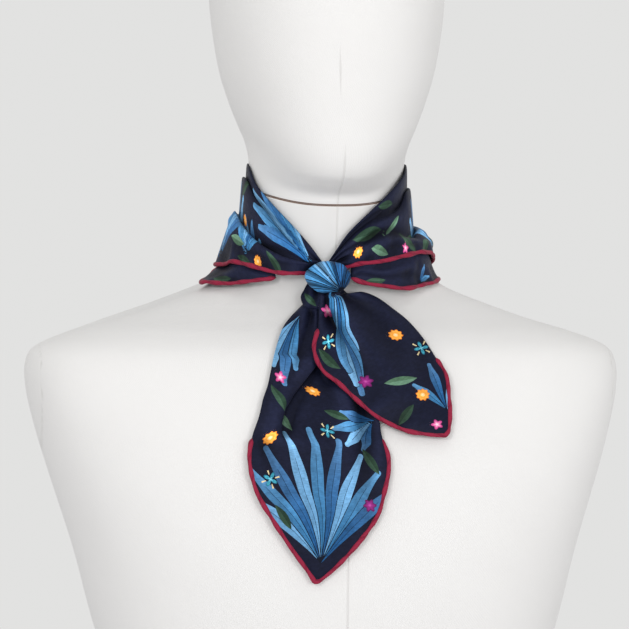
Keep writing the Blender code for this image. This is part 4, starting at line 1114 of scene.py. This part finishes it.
def addTail(name, table, folds, creases, hemRows, stations, points, looks, node, hemNode):
    # the hem runs down the left edge from one row, along the end, and up the right edge to another
    spot, off, cloth, places = tailGrid(table, folds, stations, points)
    off = off + creaseHeights(spot, creases)
    grid = onChest(spot[..., 0], spot[..., 1], np.maximum(off, tails["formRoom"]))
    grid = liftOff(grid, tails["formRoom"])
    sheet = addSheet(name, grid, cloth, looks, node)
    left, right = (int(np.searchsorted(places, row)) for row in hemRows)
    line = [grid[left:, 0], grid[-1, 1:-1:max(points // 4, 1)], grid[right:, -1][::-1]]
    addHem(name + "Hem", np.concatenate(line), hemNode, tails["hemSize"])
    return sheet


# each fold's line as height, place to the right and strength, then its width, depth and rise
shortTailFolds = (
    (((402, 1, 1), (392, 3, 1), (378, 8.5, 0.9), (360, 17, 0)), 2.4, 4.4, -1.5),
)
# right and height at each end as seen from the knot's side, bend, half widths, rises
shortTailCreases = (
    ((4.5, 397), (51, 336.6), -3, (4, 10), (3.8, 1.3)),
    ((2.6, 382), (29.7, 338.5), -2, (3.6, 8), (-4.1, -0.9)),
    ((0, 398.5), (1, 374), 0, (1.5, 2.6), (-2.3, -0.4)),
    ((-2.9, 396.6), (-3.5, 368), 0, (1.7, 3), (1.7, 0.4)),
    ((10.3, 397), (44.5, 364.3), 3, (2.8, 7), (-2.6, -0.6)),
    ((16.8, 399), (52, 374), 4, (2.8, 7), (2.2, 0.7)),
    ((62, 361), (73, 322), -2, (6, 9), (-1.7, -0.9)),
    ((30, 322), (52, 334), 1, (5, 8), (1.9, 0)),
    ((44, 313), (58, 326), 0, (4, 6), (-1.6, 0)),
)
longTailFolds = (
    (((358, -4, 0.5), (354.5, -6, 0.9), (342, -15.5, 1), (333.5, -22.5, 1), (325, -27.6, 1),
      (315, -30, 0.9), (306, -27.7, 0.4), (300, -25, 0)), 3, 6.2, 3.4),
    (((366, 11, 0), (345, 15.5, 0.5), (325, 19, 0.6), (300, 20.5, 0.3), (282, 20, 0)),
     3.6, 3.4, 1.4),
)
longTailCreases = (
    ((-4, 353), (-26.5, 312), -4, (3.6, 5), (-2, -3.2)),
    ((11, 345), (9, 262), 2, (7, 15), (3.5, 0.6)),
    ((19, 338), (24, 258), 2, (4.6, 8), (-3.8, -1.4)),
    ((33, 318), (32, 280), 1, (3.5, 6), (2, 0.6)),
    ((-15, 386), (-38, 314), 3, (3, 8), (2, 1)),
    ((-10, 384), (-23, 345), 1, (2.2, 4), (-2.5, -1.3)),
    ((-6.5, 386), (-9, 352), 1, (1.6, 3.6), (1.9, 0.9)),
    ((-39, 300), (-30, 262), 2, (5, 9), (-1.6, -0.4)),
    ((-20, 262), (-5, 232), 0, (6, 8), (1.4, 0.4)),
    ((14, 248), (2, 226), 0, (5, 6), (-1.3, -0.4)),
)
# as for the outer leaf, with places down and across; a heading of 90 runs down the tail
shortTailLooks = (
    (((0.03, 0.74), 112, 34, 5, 74, 4, -0.5, 0),
     ((0.9, 0.93), -72, 44, 3, 34, 3, 0.3, 1)),
    (((0.36, 0.1), 70, 9.5, 1), ((0.64, 0.52), 20, 10, 0), ((0.2, 0.3), 100, 8, 1),
     ((0.8, 0.26), -20, 8.5, 1)),
    (((0.28, 0.16), 10, 4.3, 1), ((0.42, 0.8), 0, 4.2, 0), ((0.56, 0.22), 20, 4.8, 3),
     ((0.76, 0.62), 25, 4.3, 0), ((0.54, 0.92), 15, 4.6, 1), ((0.93, 0.5), 0, 3.6, 2),
     ((0.15, 0.14), 0, 3.8, 2)),
)
longTailLooks = (
    (((0.93, 0.46), -91, 74, 9, 82, 4.3, 0.35, 0),
     ((0.05, 0.22), 104, 34, 3, 44, 3.8, -0.2, 1),
     ((0.44, 0.97), 160, 46, 4, 30, 3.6, 0.3, 2)),
    (((0.35, 0.14), 95, 10, 1), ((0.44, 0.31), 55, 8, 0), ((0.585, 0.87), 62, 9.5, 1),
     ((0.77, 0.12), 60, 9, 1), ((0.42, 0.68), 20, 8, 1)),
    (((0.5, 0.13), 10, 4.4, 0), ((0.64, 0.13), 30, 4.8, 1), ((0.74, 0.9), 0, 4.3, 3),
     ((0.33, 0.62), 20, 4.3, 0), ((0.27, 0.13), 0, 3.8, 2), ((0.475, 0.6), 15, 4.4, 1)),
)
shortTail = addTail(
    "scarfShortTail", shortTailRows, shortTailFolds, shortTailCreases, (3, 7), 190, 140, shortTailLooks,
    "tail_short", "hem_tail_short")
longTail = addTail(
    "scarfLongTail", longTailRows, longTailFolds, longTailCreases, (8, 8), 260, 150, longTailLooks,
    "tail_long", "hem_tail_long")
print("tails made")


# ---------------------------------------- the knot
knot = {
    "centre": (0.9, 66.3, 407.9),
    "halfDepth": 10.2,
    "gather": (8.4, 399.4),  # where its folds run together, low on the right
    "capAngle": 0.04,        # radians left flat at its front and back middles
    "sidePower": 0.8,
    "frontPower": 0.9,
    "gatherReach": 7.0,      # mm from the gather over which the ridges rise
    "rimFade": (0.25, 0.6),  # cosines behind the rim that they end at, and run that they fade over
    "ridgeOut": 0.035,       # how much a ridge of 1 mm widens it, as a share
    "paleBand": (106.0, 127.0, 9.0),     # degrees: where blue turns deep, middle and half of the band
    "paintedShadeHollow": 0.75,          # how much its ridges get painted highlight and its furrows painted shade
    "rings": 100,
    "points": 220,
}
# its outline seen from the front: degrees from the right, then mm from its middle
knotOutline = np.array([
    (-168, 14.2), (-144.5, 12), (-116, 10.9), (-90, 9.7), (-34, 13.1), (-21, 13.8),
    (-3.4, 14.7), (14, 14.8), (36, 13.1), (60, 11.1), (97, 10.3), (122, 11.4),
    (147.5, 12.4), (165, 14.8), (179, 14.7),
])
# folds that fan out from the gather: degrees, half width in degrees, rise
knotRidges = (
    (70, 8, -0.6), (86, 9, 0.7), (103, 4.5, -0.7), (115, 7, 0.8), (128, 3.6, -0.9),
    (138, 6, 0.8), (149, 3, -0.6), (158, 6, 0.8), (168, 3.6, -0.9), (180, 7, 0.7),
    (194, 4.5, -0.5),
)


def knotRings():
    # a rounded pillow over the outline, for a from front to back: distance out =
    # outline * sin(a) ^ sidePower and forward = depth * cos(a) ^ frontPower, plus the fan of ridges
    turn = np.linspace(-180.0, 180.0, knot["points"], endpoint=False)[None]
    reach = np.interp(turn, knotOutline[:, 0], knotOutline[:, 1], period=360)
    reach = rounded(np.tile(reach, 3), 6)[:, knot["points"]:2 * knot["points"]]
    a = np.linspace(knot["capAngle"], math.pi - knot["capAngle"], knot["rings"])[:, None]
    out = reach * np.sin(a) ** knot["sidePower"]
    right = out * np.cos(np.radians(turn))
    up = out * np.sin(np.radians(turn))
    forward = knot["halfDepth"] * np.sign(np.cos(a)) * np.abs(np.cos(a)) ** knot["frontPower"]
    x, z = knot["gather"][0] - knot["centre"][0], knot["gather"][1] - knot["centre"][2]
    fan = np.degrees(np.arctan2(up - z, right - x)) % 360.0
    far = np.hypot(right - x, up - z)
    ridge = sum(rise * bell((fan - degrees) / half) for degrees, half, rise in knotRidges)
    rim, fade = knot["rimFade"]
    ridge = ridge * smoothStep(far / knot["gatherReach"]) * smoothStep((np.cos(a) + rim) / fade)
    grow = 1.0 + knot["ridgeOut"] * ridge * np.sin(a)
    right, up = right * grow, up * grow
    centre = knot["centre"]
    points = fromKnotSide(right + centre[0], forward + ridge + centre[1], up + centre[2])
    return points, np.stack([right, up], axis=-1), ridge, fan


knotSprays = (
    ((9.5, -9.5), 140, 150, 13, 46, 3.2, 0.5, 1),
)
knotPoints, knotCloth, knotRidge, knotFan = knotRings()
tube, faces = closedTube(knotPoints)
fields = petalFields(knotCloth, knotSprays)
# deep blue on its right, a pale band over its middle, mid blue on its left
deepBelow, bandMiddle, bandHalf = knot["paleBand"]
tone = np.where(np.abs(knotFan - bandMiddle) < bandHalf, 0.0, 1.0)
fields["petal"][..., 2] = np.where(knotFan < deepBelow, 2.0, tone)
fields["leaf"] = fields["bloom"] = motifField(knotCloth, ())
# painted highlight on the knot's ridges and painted shade in its furrows, from their rise
fields["paintedShadeHollow"] = -knot["paintedShadeHollow"] * np.clip(knotRidge, -1.0, 1.0)
uv = knotCloth.reshape(-1, 2)
mesh = makeMesh("knotBand", tube, [group[:, ::-1] for group in faces],
                np.concatenate([uv, uv[[0, -1]]]), oneRowEach(fields, ends=(0, -1)))
addPiece("knotBand", mesh, clothMaterial, ("knot_band",))

# the end of the cloth that laps over the long tail's root: same columns as the tails
knotLobeRows = np.array([
    (-12, 404.6, 1, 403, 2.6, 4, 3.6),
    (-14.4, 400, 1.4, 398, 5, 7.4, 6.4),
    (-16.4, 395.8, 0.6, 394.4, 6.2, 9.6, 8),
    (-15.6, 391.6, -1.4, 391.2, 6.4, 9.6, 8),
    (-13.4, 388.6, -4, 388.2, 6, 8.2, 7),
    (-11.4, 386.8, -6.6, 386.6, 4.4, 5.6, 5),
])
knotLobeCreases = (
    ((-6, 404), (-9.5, 388), 1, (1.6, 2.4), (-1.8, -1.2)),
    ((-10, 403), (-12.8, 390), 1, (1.4, 2), (1.2, 0.9)),
    ((-2, 402), (-4, 390), -1, (1.5, 2), (1.3, 0.8)),
)
spot, off, cloth, _ = tailGrid(knotLobeRows, (), 60, 60)
off = off + creaseHeights(spot, knotLobeCreases)
grid = liftOff(onChest(spot[..., 0], spot[..., 1], off), tails["formRoom"])
knotLobeLeaves = (((0.62, 0.36), 40, 6, 1),)
knotLobe = addSheet("knotLobe", grid, cloth, ((), knotLobeLeaves, ()), "knot_loop")
print("knot made")
# ---------------------------------------- floor, light and camera
studio = {
    "floorReach": 1600.0,    # mm
    "floor": "e4e4e6",
    "backdrop": "e7e7e6",
    "lens": 171.7,
    "distance": 2000.0,
    "azimuth": -7.0,
    "level": 384.0,
    "aside": -7.67,
    "backdropStrength": 0.95,
    "floorCorners": 96,
    # name, place and aim in metres, size in metres, watts
    "lights": (
        ("softLeft", (-1.1, -2.4, 1.0), (0.0, 0.0, 0.42), 0.9, 21.0),
        ("softRight", (1.3, -2.4, 0.55), (0.0, 0.0, 0.42), 1.2, 19.5),
        ("softTop", (0.1, -0.5, 2.6), (0.0, 0.0, 0.4), 1.4, 5.0),
    ),
}


def addStudio():
    turn = np.linspace(0.0, 2 * math.pi, studio["floorCorners"], endpoint=False)
    rim = np.stack([np.sin(turn), -np.cos(turn), 0.0 * turn], axis=-1) * studio["floorReach"]
    material, shader, _ = newMaterial("plain pale floor", roughness=0.9, specular=0.2)
    shader.inputs["Base Color"].default_value = colour(studio["floor"])
    disc = addObject("studioFloor", makeMesh("studioFloor", rim, np.arange(len(rim))[None]))
    disc.data.materials.append(material)
    world = bpy.data.worlds.new("plain pale backdrop")
    world.use_nodes = True
    ground = world.node_tree.nodes["Background"]
    ground.inputs["Color"].default_value = colour(studio["backdrop"])
    ground.inputs["Strength"].default_value = studio["backdropStrength"]
    bpy.context.scene.world = world
    for name, place, aim, size, power in studio["lights"]:
        lamp = bpy.data.lights.new(name, "AREA")
        lamp.shape = "DISK"
        lamp.size = size
        lamp.energy = power
        light = addObject(name, lamp)
        light.location = Vector(place)
        light.rotation_euler = (Vector(aim) - Vector(place)).to_track_quat("-Z", "Y").to_euler()


def addCamera():
    # level with the middle of the scarf, square on to the knot
    turn = math.radians(studio["azimuth"])
    right = np.array([math.cos(turn), math.sin(turn), 0.0])
    forward = np.array([-math.sin(turn), math.cos(turn), 0.0])
    target = np.array([0.0, 0.0, studio["level"]]) + right * studio["aside"]
    lens = bpy.data.cameras.new("studioCamera")
    lens.sensor_width = 36.0
    lens.lens = studio["lens"]
    camera = addObject("studioCamera", lens)
    camera.location = Vector((target - forward * studio["distance"]) * mm)
    camera.rotation_euler = Vector(forward).to_track_quat("-Z", "Y").to_euler()
    bpy.context.scene.camera = camera


addStudio()
addCamera()
bpy.context.scene.view_settings.view_transform = "Standard"
print("studio set")
